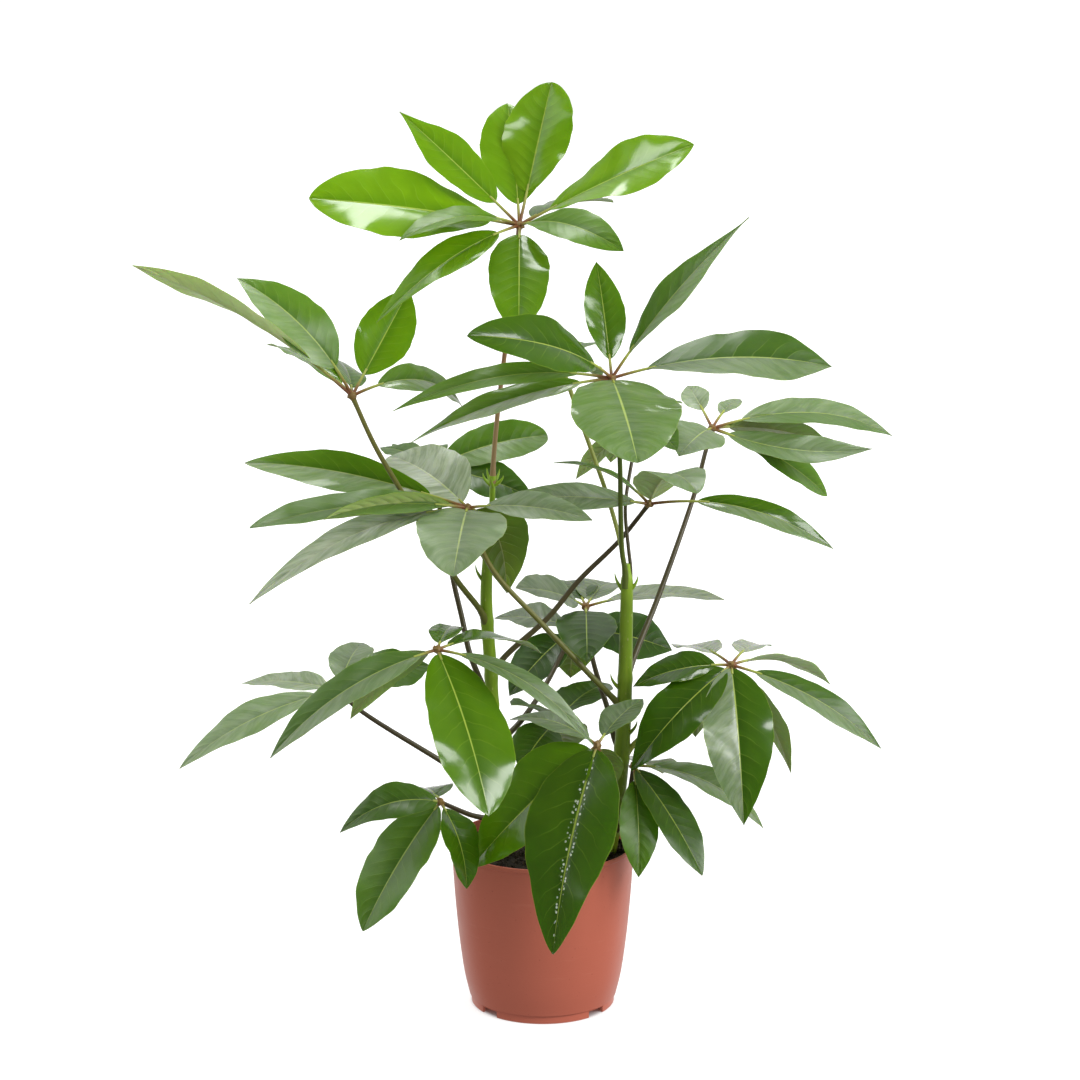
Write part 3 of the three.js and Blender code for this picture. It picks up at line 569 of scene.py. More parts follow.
class Nodes:
    """Short calls for building the nodes of one material or of the world."""

    def __init__(self, owner, shader="Principled BSDF"):
        owner.use_nodes = True
        self.owner = owner
        self.tree = owner.node_tree
        self.shader = self.tree.nodes[shader]

    def add(self, kind, **settings):
        node = self.tree.nodes.new(kind)
        for key, value in settings.items():
            setattr(node, key, value)
        return node

    def feed(self, node, values):
        """Links each value that is another node's output, and sets each that is a constant."""
        for key, value in values.items():
            if isinstance(value, bpy.types.NodeSocket):
                self.tree.links.new(value, node.inputs[key])
            else:
                node.inputs[key].default_value = value

    def math(self, operation, a, b=0.0, c=0.0, clamp=False):
        node = self.add("ShaderNodeMath", operation=operation, use_clamp=clamp)
        self.feed(node, {0: a, 1: b, 2: c})
        return node.outputs[0]

    def ramp_between(self, value, low, high):
        """0 below low, 1 above high, smooth in between."""
        node = self.add("ShaderNodeMapRange", interpolation_type="SMOOTHSTEP", clamp=True)
        self.feed(node, {"Value": value, "From Min": low, "From Max": high})
        return node.outputs["Result"]

    def fade_between(self, value, low, high):
        """1 below low, 0 above high, smooth in between."""
        return self.math("SUBTRACT", 1.0, self.ramp_between(value, low, high))

    def span(self, value, low, high):
        """A value of 0 to 1 spread over low to high."""
        node = self.add("ShaderNodeMapRange", clamp=True)
        self.feed(node, {"Value": value, "To Min": low, "To Max": high})
        return node.outputs["Result"]

    def mix(self, share, a, b, blend="MIX"):
        node = self.add("ShaderNodeMix", data_type="RGBA", blend_type=blend)
        self.feed(node, {0: share, 6: a, 7: b})
        return node.outputs[2]

    def noise(self, scale, detail=3.0, roughness=0.5, vector=None):
        node = self.add("ShaderNodeTexNoise")
        values = {"Scale": scale, "Detail": detail, "Roughness": roughness}
        values["Vector"] = vector or self.spot()
        self.feed(node, values)
        return node.outputs["Fac"]

    def tint(self, colour, mask, share, tone, blend="MIX"):
        """colour with tone over it, as strong as share where mask is 1."""
        return self.mix(self.math("MULTIPLY", mask, share), colour, tone, blend)

    def cell_distance(self, vector, scale=1.0):
        """The distance to the nearest of many scattered points."""
        node = self.add("ShaderNodeTexVoronoi", feature="F1")
        self.feed(node, {"Scale": scale, "Vector": vector})
        return node.outputs["Distance"]

    def spot(self, scale=(1, 1, 1)):
        """The spot on the object, in metres, times scale."""
        node = self.add("ShaderNodeMapping")
        self.feed(node, {"Vector": self.add("ShaderNodeTexCoord").outputs["Object"],
                         "Scale": scale})
        return node.outputs["Vector"]

    def surface(self):
        """The two UV numbers."""
        split = self.add("ShaderNodeSeparateXYZ")
        self.feed(split, {0: self.add("ShaderNodeUVMap", uv_map="surface").outputs[0]})
        return split.outputs[0], split.outputs[1]

    def attribute(self, name):
        return self.add("ShaderNodeAttribute", attribute_name=name).outputs["Fac"]

    def ramp(self, value, stops):
        node = self.add("ShaderNodeValToRGB")
        bar = node.color_ramp.elements
        while len(bar) < len(stops):
            bar.new(0.5)
        for element, (position, colour) in zip(bar, stops):
            element.position = position
            element.color = colour
        self.feed(node, {0: value})
        return node.outputs[0]

    def bump(self, height, distance, strength=1.0, under=None):
        node = self.add("ShaderNodeBump")
        values = {"Height": height, "Distance": distance, "Strength": strength}
        if under:
            values["Normal"] = under
        self.feed(node, values)
        return node.outputs["Normal"]

    def finish(self, values):
        """Feeds the shader, and returns the material or the world."""
        self.feed(self.shader, values)
        return self.owner


def scatter(weight, radius, depth):
    """Light scatters under the surface, to a depth in metres."""
    return {"Subsurface Weight": weight, "Subsurface Radius": radius, "Subsurface Scale": depth}


def srgb(red, green, blue):
    """A colour from 0 to 255 numbers, as the linear one that shaders use."""
    return tuple(((v / 255 + 0.055) / 1.055) ** 2.4 if v > 10 else v / 255 / 12.92
                 for v in (red, green, blue)) + (1.0,)


WHITE = (1, 1, 1, 1)
BLACK = (0, 0, 0, 1)

# Leaf colours by age, from 0, young, to 1, old
UPPER_GREENS = [(0.0, srgb(114, 156, 3)), (0.3, srgb(92, 132, 3)), (0.6, srgb(72, 108, 5)),
                (1.0, srgb(52, 82, 10))]
UNDER_GREENS = [(0.0, srgb(204, 216, 140)), (0.3, srgb(166, 182, 110)),
                (0.8, srgb(140, 156, 92)), (1.0, srgb(106, 128, 22))]
# Silver-grey of the painted sheen on leaflets
PAINTED_SHEEN_GREY = srgb(206, 212, 192)
LEAF_SCATTER = scatter(0.35, (0.6, 1.0, 0.1), 0.002)
STEM_SCATTER = scatter(0.15, (0.6, 1.0, 0.2), 0.004)

# Colours of leaf stalks, at the stem and at the hub
STALK_TONES = {
    "pink": (srgb(176, 146, 102), srgb(138, 82, 56)),
    "olive": (srgb(98, 104, 38), srgb(132, 130, 66)),
    "dark": (srgb(84, 78, 46), srgb(80, 70, 44)),
    "light": (srgb(168, 182, 84), srgb(158, 168, 80)),
    "green": (srgb(94, 112, 36), srgb(70, 92, 26)),
}


def vein_masks(n):
    """Masks over a leaflet: its midrib, side veins and margin, and swells and streaks between
    the side veins. off_centre is the distance from the midrib, which is 1 at the edge.
    """
    along, across = n.surface()
    off_centre = n.math("ABSOLUTE", n.math("MULTIPLY_ADD", across, 2.0, -1.0))
    midrib_width = n.math("MULTIPLY_ADD", along, -0.02, 0.032)
    midrib = n.fade_between(n.math("DIVIDE", off_centre, midrib_width), 0.4, 1.2)
    swept = n.math("MULTIPLY", n.math("POWER", off_centre, VEIN_CURVE), VEIN_SWEEP)
    phase = n.math("MULTIPLY", n.math("SUBTRACT", along, swept), float(VEIN_PAIRS))
    phase = n.math("ADD", phase, n.math("SUBTRACT", n.noise(26.0, 2.0), 0.5))
    distance = n.math("ABSOLUTE", n.math("SUBTRACT", n.math("FRACT", phase), 0.5))
    inside = n.fade_between(off_centre, 0.3, 0.92)
    along_veins = n.add("ShaderNodeCombineXYZ")
    n.feed(along_veins, {0: n.math("MULTIPLY", phase, 2.0), 1: n.math("MULTIPLY", across, 2.5),
                         2: n.noise(9.0, 1.0)})
    return SimpleNamespace(
        midrib=midrib,
        side=n.math("MULTIPLY", n.fade_between(distance, 0.0, 0.055), inside),
        margin=n.ramp_between(off_centre, 0.97, 1.0),
        pillow=n.math("MULTIPLY", n.ramp_between(distance, 0.0, 0.4), inside),
        streaks=n.ramp_between(n.noise(1.0, 4.0, 0.6, along_veins.outputs[0]), 0.32, 0.68),
        off_centre=off_centre,
    )


def with_painted_sheen(n, green, veins):
    """Painted sheen: silver-grey painted into a leaflet's colour, in streaks that follow its side
    veins.
    """
    share = n.math("MULTIPLY", n.span(veins.streaks, 0.33, 0.64), n.attribute("painted_sheen"), clamp=True)
    return n.mix(share, green, PAINTED_SHEEN_GREY)


def beaded(n, green, veins):
    """Pale dots in a band on either side of the midrib."""
    band = n.math("MULTIPLY", n.ramp_between(veins.off_centre, 0.03, 0.05),
                  n.fade_between(veins.off_centre, 0.09, 0.14))
    dot = n.fade_between(n.cell_distance(n.spot(), 240.0), 0.2, 0.42)
    dots = n.math("MULTIPLY", n.math("MULTIPLY", dot, band), n.attribute("beads"))
    return n.mix(dots, green, srgb(222, 232, 214))


def upper_material(name, specular, coat, coat_roughness):
    """The leaflets' upper face: green by age, with paler veins and painted silver-grey sheen, under a
    waxy coat.
    """
    n = Nodes(bpy.data.materials.new(name))
    veins = vein_masks(n)
    green = n.ramp(n.attribute("age"), UPPER_GREENS)
    green = n.tint(green, n.noise(38.0, 4.0, 0.6), 0.6, srgb(190, 205, 120), "MULTIPLY")
    beside_rib = n.fade_between(veins.off_centre, 0.04, 0.4)
    green = n.tint(green, beside_rib, 0.35, srgb(150, 190, 120), "MULTIPLY")
    green = n.tint(green, veins.side, 0.16, srgb(150, 180, 60))
    green = n.tint(green, veins.midrib, 0.7, srgb(176, 196, 84))
    green = n.tint(green, veins.margin, 0.4, srgb(140, 160, 50))
    grain = n.bump(n.noise(900.0, 2.0), 0.0002, 0.3)
    pucker = n.bump(n.noise(160.0, 3.0, 0.6), 0.0003, 0.2, grain)
    swell = n.bump(n.noise(60.0, 2.0), 0.0012, 0.5, pucker)
    quilt = n.bump(veins.pillow, 0.0006, 0.5, swell)
    grooves = n.math("MULTIPLY_ADD", veins.side, 0.5, veins.midrib)
    return n.finish({
        # Painted sheen: silver-grey over the green, as strong as each point's sheen trait.
        "Base Color": beaded(n, with_painted_sheen(n, green, veins), veins),
        "Roughness": n.span(n.noise(60.0), 0.36, 0.52),
        "Normal": n.bump(grooves, -0.0004, 0.6, quilt),
        "Specular IOR Level": specular,
        "Coat Weight": coat,
        "Coat Roughness": coat_roughness,
        **LEAF_SCATTER,
    })


def under_material():
    """The leaflets' underside: paler and matt, with raised veins and painted silver-grey sheen."""
    n = Nodes(bpy.data.materials.new("leaf_under"))
    veins = vein_masks(n)
    green = n.ramp(n.attribute("age"), UNDER_GREENS)
    green = n.tint(green, n.noise(45.0, 4.0, 0.6), 0.35, srgb(98, 118, 60))
    green = n.tint(green, veins.side, 0.3, srgb(178, 190, 130))
    green = n.tint(green, veins.midrib, 0.85, srgb(186, 198, 128))
    grain = n.bump(n.noise(800.0, 2.0), 0.0002, 0.3)
    quilt = n.bump(veins.pillow, -0.001, 0.5, grain)
    ribs = n.math("MULTIPLY_ADD", veins.side, 0.6, veins.midrib)
    return n.finish({
        # Painted sheen: silver-grey over the underside's green, as strong as each point's sheen trait.
        "Base Color": with_painted_sheen(n, green, veins),
        "Roughness": n.span(n.noise(70.0), 0.4, 0.55),
        "Normal": n.bump(ribs, 0.0005, 0.7, quilt),
        "Specular IOR Level": 0.5,
        **LEAF_SCATTER,
    })


def stalk_material(tone):
    """A leaf stalk, whose colour runs from the stem's end to the hub's."""
    n = Nodes(bpy.data.materials.new(f"stalk_{tone}"))
    low, high = STALK_TONES[tone]
    along, _ = n.surface()
    streaks = n.noise(1.0, 3.0, 0.6, n.spot((700, 700, 60)))
    colour = n.mix(n.ramp_between(along, 0.1, 0.9), low, high)
    return n.finish({
        "Base Color": n.tint(colour, streaks, 0.6, srgb(170, 160, 130), "MULTIPLY"),
        "Roughness": n.span(streaks, 0.32, 0.5),
        "Normal": n.bump(streaks, 0.0003, 0.5),
    })


def hub_material():
    """The knot at the top of a leaf stalk."""
    n = Nodes(bpy.data.materials.new("leaf_hub"))
    return n.finish({
        "Base Color": n.mix(n.noise(300.0), srgb(112, 78, 40), srgb(138, 116, 56)),
        "Roughness": 0.5,
        "Normal": n.bump(n.noise(500.0), 0.0004, 0.5),
    })


def stalklet_material():
    """A leaflet's own short stalk, reddish at the hub and pale green at the blade."""
    n = Nodes(bpy.data.materials.new("stalklet"))
    along, _ = n.surface()
    green_share = n.ramp_between(along, 0.1, 0.8)
    return n.finish({
        "Base Color": n.mix(green_share, srgb(124, 76, 44), srgb(158, 170, 74)),
        "Roughness": 0.42,
        "Normal": n.bump(n.noise(400.0, 2.0), 0.0003, 0.4),
    })


def stem_material(name, lit, shaded, young_from):
    """Green bark, which turns to lime upwards of a height in metres."""
    n = Nodes(bpy.data.materials.new(name))
    streaks = n.noise(1.0, 4.0, 0.6, n.spot((260, 260, 14)))
    patches = n.noise(26.0)
    colour = n.mix(streaks, lit, shaded)
    colour = n.tint(colour, patches, 0.5, srgb(170, 180, 110), "MULTIPLY")
    split = n.add("ShaderNodeSeparateXYZ")
    n.feed(split, {0: n.spot()})
    young = n.ramp_between(split.outputs["Z"], young_from, young_from + YOUNG_FADE)
    colour = n.tint(colour, young, 0.8, srgb(158, 196, 52))
    pores = n.fade_between(n.cell_distance(n.spot((210, 210, 90))), 0.08, 0.2)
    fibres = n.bump(streaks, 0.0005, 0.5)
    return n.finish({
        "Base Color": n.tint(colour, pores, 0.35, srgb(180, 176, 120)),
        "Roughness": n.span(patches, 0.3, 0.45),
        "Normal": n.bump(pores, 0.0004, 0.5, fibres),
        **STEM_SCATTER,
    })


def pot_material():
    """Moulded plastic with dark specks, pale scuffs and faint rings round the pot."""
    n = Nodes(bpy.data.materials.new("pot_plastic_look"))
    colour = n.mix(n.noise(9.0), srgb(196, 106, 83), srgb(186, 99, 78))
    specks = n.ramp_between(n.noise(420.0, 1.0), 0.74, 0.78)
    colour = n.tint(colour, specks, 0.35, srgb(120, 52, 40))
    scuffs = n.ramp_between(n.noise(1.0, 5.0, 0.7, n.spot((20, 20, 130))), 0.6, 0.75)
    rings = n.noise(1.0, 3.0, 0.6, n.spot((2, 2, 420)))
    grain = n.bump(n.noise(1500.0, 2.0), 0.0001, 0.3)
    return n.finish({
        "Base Color": n.tint(colour, scuffs, 0.12, srgb(214, 140, 116)),
        "Roughness": n.span(n.noise(60.0, 4.0), 0.34, 0.46),
        "Normal": n.bump(rings, 0.0004, 0.3, grain),
    })


def peat_material():
    """Dark peat, mottled from near black to brown."""
    n = Nodes(bpy.data.materials.new("peat_look"))
    clods = n.noise(160.0, 6.0, 0.7)
    return n.finish({
        "Base Color": n.ramp(clods, [(0.25, srgb(16, 12, 6)), (0.55, srgb(42, 33, 16)),
                                     (0.8, srgb(86, 66, 38))]),
        "Roughness": 0.95,
        "Normal": n.bump(n.noise(420.0, 6.0, 0.7), 0.002, 1.0),
    })


def floor_material():
    """White paper that glows, more so away from the pot, so that only soft shadows show.

    Under the pot it doesn't glow, so the foot's notches look dark.
    """
    n = Nodes(bpy.data.materials.new("floor_look"))
    reach = n.add("ShaderNodeVectorMath", operation="LENGTH")
    n.feed(reach, {0: n.spot()})
    away = n.ramp_between(reach.outputs["Value"], *FLOOR_BRIGHTENS_OVER)
    beside_pot = n.ramp_between(reach.outputs["Value"], *FLOOR_DARK_WITHIN)
    return n.finish({
        "Base Color": n.mix(n.noise(3.0, 2.0), (0.5, 0.5, 0.5, 1), (0.48, 0.48, 0.48, 1)),
        "Roughness": 0.9,
        "Specular IOR Level": 0.0,
        "Emission Color": WHITE,
        "Emission Strength": n.math("MULTIPLY", n.span(away, FLOOR_GLOW, 1.0), beside_pot),
    })


def backdrop_material():
    """An even white glow."""
    n = Nodes(bpy.data.materials.new("backdrop_look"))
    return n.finish({"Base Color": BLACK, "Emission Color": WHITE,
                     "Emission Strength": BACKDROP_GLOW})


# Leaves

def blade_half_width(share, spec, order):
    """Half width of the blade at a share of its own length, with a slightly uneven edge."""
    if share <= spec.widest:
        width = math.sin(math.pi / 2 * share / spec.widest) ** ROOT_FULLNESS
    else:
        beyond = (share - spec.widest) / (1 - spec.widest)
        width = max(0.0, math.cos(math.pi / 2 * beyond)) ** spec.tip
    wander = math.sin(17 * share + 2.1 * order) * math.sin(31 * share + order)
    uneven = 1 + EDGE_UNEVENNESS * wander
    return max(TIP_HALF_WIDTH, width * uneven * spec.wide / 2)


def blade_station(i):
    """Where row i stands along the blade. Rows crowd together at its root and its tip."""
    even = i / BLADE_STEPS
    return even - BLADE_CROWDING * math.sin(2 * math.pi * even)


def blade_frame(hub, spec, share):
    """Centre, across and normal of a leaflet at a share of the way from hub to tip."""
    length = spec.reach.length
    axis = spec.reach.normalized()
    upright = (UP - axis * UP.dot(axis)).normalized()
    towards_front = axis.cross(upright)
    if axis.x < 0:
        towards_front.negate()
    lean = math.radians(spec.lean)
    face = upright * math.cos(lean) + towards_front * math.sin(lean)
    centre = hub + spec.reach * share + face * (4 * spec.arch * length * share * (1 - share))
    along = (axis + face * (4 * spec.arch * (1 - 2 * share))).normalized()
    normal = (face - along * face.dot(along)).normalized()
    normal.rotate(Quaternion(along, math.radians(spec.twist * (share - 0.5))))
    return centre, along.cross(normal), normal


def blade_height(share, across, half_width, order):
    """How far the blade's middle surface stands off its centre line, in millimetres."""
    out = abs(across)
    fold = FOLD * half_width * (1 - (1 - out) ** 1.5)
    phase = WAVE_STEP * order + WAVE_PHASE * share
    wave = -2 * EDGE_WAVE * half_width * math.sin(phase) * across * out
    ripple = EDGE_RIPPLE * half_width * math.sin(3 * phase + 2 * across) * out ** 3
    vein = VEIN_PAIRS * (share - VEIN_SWEEP * out ** VEIN_CURVE)
    ends = math.sin(math.pi * min(1, max(0, share))) ** 0.5
    quilt = QUILT_HEIGHT * math.sin(math.pi * vein) ** 2 * min(1, 4 * out) * (1 - out ** 3) * ends
    return fold + wave + ripple + quilt


def blade_rows(hub, spec, order, columns):
    """Rows of points over the blade's upper face and over its underside."""
    top, bottom = [], []
    for i in range(BLADE_STEPS + 1):
        share = blade_station(i)
        centre, across, normal = blade_frame(hub, spec, spec.root + share * (1 - spec.root))
        half = blade_half_width(share, spec, order)
        rib = MIDRIB_DEPTH * (1 - 0.8 * share)
        top_row, bottom_row = [], []
        for c in columns:
            middle = centre + across * (half * c) + normal * blade_height(share, c, half, order)
            thick = BLADE_HALF_THICKNESS * (1 - 0.5 * abs(c))
            near_rib = max(0, 1 - (abs(c) * half / MIDRIB_REACH) ** 2)
            top_row.append(middle + normal * (thick - GROOVE_DEPTH * near_rib * (1 - share)))
            bottom_row.append(middle - normal * (thick + rib * near_rib))
        top.append(top_row)
        bottom.append(bottom_row)
    return top, bottom


def painted_sheen_at(spec, c):
    """The painted sheen of the half that column c lies in, or on the midrib the mean of both."""
    first, second = spec.painted_sheen
    if c == 0:
        return (first + second) / 2
    return second if c > 0 else first


def add_leaflet(skin, hub, spec, order, age, upper_slot):
    """A leaflet's two faces, the thin wall round its edge, and its stalklet."""
    columns = [-c for c in reversed(BLADE_COLUMNS[1:])] + list(BLADE_COLUMNS)
    width = len(columns)
    last = width - 1

    def uv(i, k):
        return (blade_station(i), (columns[k] + 1) / 2)

    top, bottom = blade_rows(hub, spec, order, columns)
    # The second trait is each half's painted sheen.
    traits = [(age, painted_sheen_at(spec, c), spec.beads) for c in columns]
    start_top = skin.grid(top, upper_slot, uv, flip=True, traits=traits)
    start_bottom = skin.grid(bottom, UNDER_SLOT, uv, traits=traits)
    border = ([(0, k) for k in range(width)] + [(i, last) for i in range(1, BLADE_STEPS + 1)]
              + [(BLADE_STEPS, k) for k in range(last - 1, -1, -1)]
              + [(i, 0) for i in range(BLADE_STEPS - 1, 0, -1)])
    for (i, k), (j, m) in zip(border, border[1:] + border[:1]):
        here, there = i * width + k, j * width + m
        skin.faces.append([start_top + here, start_top + there, start_bottom + there,
                           start_bottom + here])
        skin.slots.append(upper_slot)
        skin.uvs.extend([uv(i, k), uv(j, m), uv(j, m), uv(i, k)])

    reach = max(1.25 * spec.root, spec.root + 0.04)
    centres = [blade_frame(hub, spec, reach * s / STALKLET_STEPS)[0]
               for s in range(STALKLET_STEPS + 1)]
    skin.tube(centres, lambda t: STALKLET_RADIUS * (1.25 - 0.35 * t), STALKLET_SIDES,
              STALKLET_SLOT)


def make_leaf(spec, materials):
    """A compound leaf: stalk, hub and leaflets in one piece."""
    skin = Skin()
    hub = Vector(spec.stalk[-1])
    for order, leaflet in enumerate(spec.leaflets):
        age = spec.age if leaflet.age is None else leaflet.age
        silky = spec.silky if leaflet.silky is None else leaflet.silky
        add_leaflet(skin, hub, leaflet, order, age, SILKY_SLOT if silky else GLOSSY_SLOT)
    top_radius = min(spec.base, STALK_TOP_RADIUS)

    def radius_at(t):
        flare = 1 + (STALK_FLARE - 1) * math.exp(-((t / STALK_FLARE_REACH) ** 2))
        swell = 1 + STALK_SWELL * math.exp(-(((1 - t) / STALK_SWELL_REACH) ** 2))
        return (spec.base + (top_radius - spec.base) * t) * flare * swell

    skin.tube(smooth_path(spec.stalk, STALK_STEPS), radius_at, STALK_SIDES, STALK_SLOT)
    skin.ball(hub, HUB_RADIUS, HUB_SLOT, HUB_LUMPS)
    made = skin.piece(f"{spec.name}_growth", [
        materials.glossy, materials.under, materials.stalks[spec.tone], materials.stalklet,
        materials.hub, materials.silky])
    place(made, spec.name)


# Stems

def make_stem(letter, stem, stipules, material):
    """A stem that swells where leaf stalks join it, with its stipules."""
    skin = Skin()
    centres = smooth_path(stem.path, STEM_STEPS)
    stops = [(p[2], r) for p, r in zip(stem.path, stem.radius)]
    joints = [spec.stalk[0][2] + JOINT_ABOVE_STALK for spec in LEAVES if spec.stem == letter]

    def radius_at(t):
        z = centres[round(t * STEM_STEPS)].z
        swell = sum(math.exp(-(((z - joint) / JOINT_REACH) ** 2)) for joint in joints)
        return smooth_between(stops, z) + JOINT_SWELL * min(1, swell) - STEM_TRIM

    skin.tube(centres, radius_at, STEM_SIDES, 0)
    for root, way in stipules:
        add_stipule(skin, Vector(root), Vector(way))
    made = skin.piece(f"stem_{letter}_growth", [material])
    place(made, f"stem_{letter}")


def add_stipule(skin, root, way):
    """A small pointed scale that bends outwards."""
    bend = Vector((way.x, way.y, 0)) * STIPULE_BEND
    shares = [i / STIPULE_STEPS for i in range(STIPULE_STEPS + 1)]
    centres = [root + way * s + bend * (4 * s * (1 - s)) for s in shares]
    skin.tube(centres, lambda t: STIPULE_RADIUS * (1 - t) ** 0.8 + STIPULE_TIP_RADIUS,
              STIPULE_SIDES, 0)


# Pot and peat

def inner(radius):
    """The pot's inside radius where its outside radius is known."""
    return radius - WALL


def body_radius(z):
    """The outside radius of the pot's body at a height."""
    return smooth_between([(height, radius) for radius, height in BODY_OUTLINE], z)


def pot_profile():
    """Closed outline of the pot's section, (radius, height), from the floor's underside."""
    heights = [FOOT_HEIGHT + (BODY_TOP - FOOT_HEIGHT) * i / BODY_STEPS
               for i in range(BODY_STEPS + 1)]
    body = [(body_radius(z), z) for z in heights]
    inside = [(inner(r), z) for r, z in reversed(body) if z > FLOOR_TOP + 1.5 * CORNER_FILL]
    corner = inner(BODY_OUTLINE[0][0])
    return [
        (DRAIN_RADIUS, FLOOR_UNDERSIDE), (FOOT_RADIUS - FOOT_WALL, FLOOR_UNDERSIDE),
        (FOOT_RADIUS - FOOT_WALL, 0.4), (FOOT_RADIUS - FOOT_WALL + 0.4, 0),
        (FOOT_RADIUS - 0.5, 0), (FOOT_RADIUS, 0.5), (FOOT_RADIUS, FOOT_HEIGHT - 0.6),
        (FOOT_RADIUS + 0.6, FOOT_HEIGHT), *body,
        (RIM_RADIUS - 0.5, BODY_TOP + 0.4), (RIM_RADIUS, BODY_TOP + 1),
        (RIM_RADIUS, POT_HEIGHT - 1),
        (RIM_RADIUS - 0.3, POT_HEIGHT - 0.3), (RIM_RADIUS - 1, POT_HEIGHT),
        (inner(RIM_RADIUS) + 0.5, POT_HEIGHT), (inner(RIM_RADIUS), POT_HEIGHT - 0.5),
        *inside, (corner, FLOOR_TOP + CORNER_FILL), (corner - CORNER_FILL, FLOOR_TOP),
        (DRAIN_RADIUS, FLOOR_TOP),
    ]


def notch_cutter(bearing):
    """A block that cuts one notch into the foot ring."""
    bpy.ops.mesh.primitive_cube_add(size=1)
    cutter = bpy.context.active_object
    size = (NOTCH_WIDTH * MM, NOTCH_CUT_DEPTH * MM, 2 * NOTCH_HEIGHT * MM, 1)
    cutter.matrix_world = (Matrix.Rotation(math.radians(bearing), 4, "Z")
                           @ Matrix.Translation((0, -FOOT_RADIUS * MM, 0))
                           @ Matrix.Diagonal(size))
    return cutter


def cut_away(made, cutters):
    """Cuts the cutters out of a piece's mesh and removes them."""
    for cutter in cutters:
        cut = made.modifiers.new("notch", "BOOLEAN")
        cut.operation = "DIFFERENCE"
        cut.solver = "EXACT"
        cut.object = cutter
    bpy.context.view_layer.update()
    shaped = made.evaluated_get(bpy.context.evaluated_depsgraph_get())
    cut_mesh = bpy.data.meshes.new_from_object(shaped)
    made.modifiers.clear()
    made.data = cut_mesh
    for cutter in cutters:
        bpy.data.objects.remove(cutter)


def make_pot(material):
    """The section turned round the axis, with the last row joined to the first, and notches."""
    skin = Skin()
    profile = pot_profile()
    rows = [[polar(r, turn, z) for r, z in profile] for turn in turns(POT_SIDES)]
    rows.append(rows[0])
    start = skin.grid(rows, 0, wrap=True, flip=True)
    seam = start + POT_SIDES * len(profile)
    skin.faces = [[start + (v - seam) if v >= seam else v for v in face] for face in skin.faces]
    skin.points = skin.points[:seam]
    skin.traits = skin.traits[:seam]
    made = skin.piece("pot_moulded", [material], POT_SHARP_ANGLE)
    cut_away(made, [notch_cutter(bearing) for bearing in NOTCH_BEARINGS])
    made.data.set_sharp_from_angle(angle=math.radians(POT_SHARP_ANGLE))
    place(made, "pot")


def peat_height(share):
    """The height of the smooth, slightly crowned peat at a share of the way to its edge."""
    return SOIL_LEVEL + SOIL_CROWN * (1 - share ** 2)


def make_soil(material):
    """The rough surface of the peat, with crumbs scattered over it."""
    skin = Skin()
    edge = inner(body_radius(SOIL_LEVEL)) - SOIL_GAP
    rows = []
    for i in range(SOIL_RINGS + 1):
        share = i / SOIL_RINGS
        row = []
        for turn in turns(SOIL_SIDES):
            spot = polar(max(0.5, edge * share), turn, 0)
            rough = sum(noise.noise(spot / spacing) * height for spacing, height in PEAT_LUMPS)
            row.append(Vector((spot.x, spot.y, peat_height(share) + rough - PEAT_SUNK)))
        rows.append(row)
    rows.append([Vector((p.x, p.y, SOIL_BOTTOM)) for p in rows[-1]])
    skin.grid(rows, 0, wrap=True, flip=True, caps=True)
    draw = random.Random(SEED)
    for _ in range(CRUMB_COUNT):
        turn = draw.uniform(0, 2 * math.pi)
        radius = edge * math.sqrt(draw.uniform(0, CRUMB_AREA_SHARE))
        size = draw.uniform(*CRUMB_SIZES)
        height = peat_height(radius / edge) + CRUMB_STANDS * size - CRUMB_SUNK
        skin.ball(polar(radius, turn, height), size, 0, CRUMB_LUMPS)
    made = skin.piece("peat_surface", [material])
    place(made, "soil")


# Studio

def make_camera():
    """The photograph's view."""
    data = bpy.data.cameras.new("camera")
    data.sensor_width = SENSOR_MM
    data.lens = FOCAL_PX / IMAGE_PX * SENSOR_MM
    camera = bpy.data.objects.new("camera", data)
    camera.location = CAMERA_PLACE
    camera.rotation_euler = (math.radians(90 - CAMERA_PITCH), 0, 0)
    bpy.context.scene.collection.objects.link(camera)
    bpy.context.scene.camera = camera


def softbox(name, place_at, aim_at, size, watts):
    """A soft rectangular light that the camera doesn't see."""
    data = bpy.data.lights.new(name, "AREA")
    data.shape = "RECTANGLE"
    data.size, data.size_y = size
    data.energy = watts
    light = bpy.data.objects.new(name, data)
    light.location = place_at
    aim = Vector(aim_at) - Vector(place_at)
    light.rotation_euler = aim.to_track_quat("-Z", "Y").to_euler()
    light.visible_camera = False
    bpy.context.scene.collection.objects.link(light)


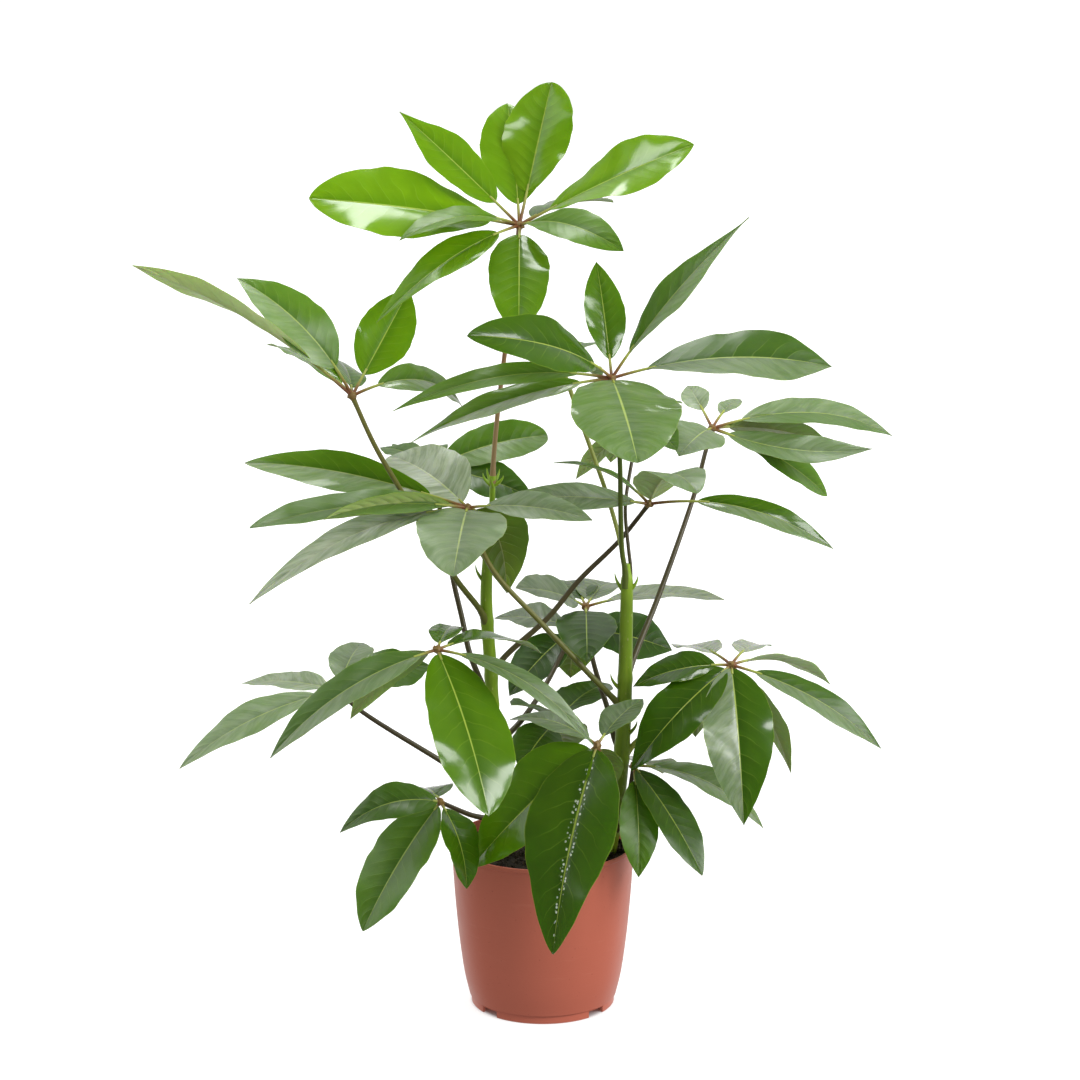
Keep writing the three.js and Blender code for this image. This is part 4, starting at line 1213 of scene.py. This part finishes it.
def make_world():
    """A white wall behind the plant, a dimmer room in front of it, and less light from below.

    Gloss mirrors a dimmer wall with a brighter floor, and hardly any of the room, so that the
    leaves keep their deep colours.
    """
    n = Nodes(bpy.data.worlds.new("studio"), "Background")
    split = n.add("ShaderNodeSeparateXYZ")
    n.feed(split, {0: n.add("ShaderNodeTexCoord").outputs["Generated"]})
    lit = n.span(n.ramp_between(split.outputs["Y"], -0.5, 0.6), ROOM_LIGHT, WALL_LIGHT)
    mirrored = n.span(n.ramp_between(split.outputs["Y"], 0.1, 0.8), MIRRORED_ROOM, MIRRORED_WALL)
    glossy = n.add("ShaderNodeLightPath").outputs["Is Glossy Ray"]
    above = n.ramp_between(split.outputs["Z"], -0.25, 0.1)
    lit = n.math("MULTIPLY", lit, n.span(above, BELOW_SHARE, 1.0))
    mirrored = n.math("MULTIPLY", mirrored, n.span(above, MIRRORED_BELOW_SHARE, 1.0))
    strength = n.math("MULTIPLY_ADD", n.math("SUBTRACT", mirrored, lit), glossy, lit)
    bpy.context.scene.world = n.finish({"Color": WHITE, "Strength": strength})


def unlit_by(stage):
    """Keeps a stage object that the camera sees from sending light to the plant."""
    stage.visible_diffuse = False
    stage.visible_glossy = False
    stage.visible_transmission = False


def make_studio():
    """The lights, and a floor and a backdrop that only the camera sees."""
    make_world()
    for settings in SOFTBOXES:
        softbox(*settings)
    bpy.ops.mesh.primitive_circle_add(vertices=96, radius=FLOOR_RADIUS, fill_type="NGON")
    floor = bpy.context.active_object
    floor.name = "floor"
    floor.data.materials.append(floor_material())
    unlit_by(floor)
    bpy.ops.mesh.primitive_uv_sphere_add(segments=48, ring_count=24, radius=FLOOR_RADIUS)
    backdrop = bpy.context.active_object
    backdrop.name = "backdrop"
    backdrop.visible_shadow = False
    backdrop.data.materials.append(backdrop_material())
    unlit_by(backdrop)
    bpy.context.scene.view_settings.view_transform = "Standard"


make_camera()
make_studio()
make_pot(pot_material())
make_soil(peat_material())
make_stem("a", STEM_A, STIPULES_A,
          stem_material("stem_green", srgb(136, 166, 30), srgb(98, 134, 22), 0.46))
make_stem("b", STEM_B, STIPULES_B,
          stem_material("stem_lime", srgb(136, 162, 36), srgb(94, 126, 24), 0.43))
leaf_materials = SimpleNamespace(
    glossy=upper_material("leaf_upper_glossy", 0.05, 1.0, 0.15),
    silky=upper_material("leaf_upper_silky", 0.3, 0.45, 0.3),
    under=under_material(),
    stalks={tone: stalk_material(tone) for tone in STALK_TONES},
    stalklet=stalklet_material(),
    hub=hub_material(),
)
for leaf_spec in LEAVES:
    make_leaf(leaf_spec, leaf_materials)
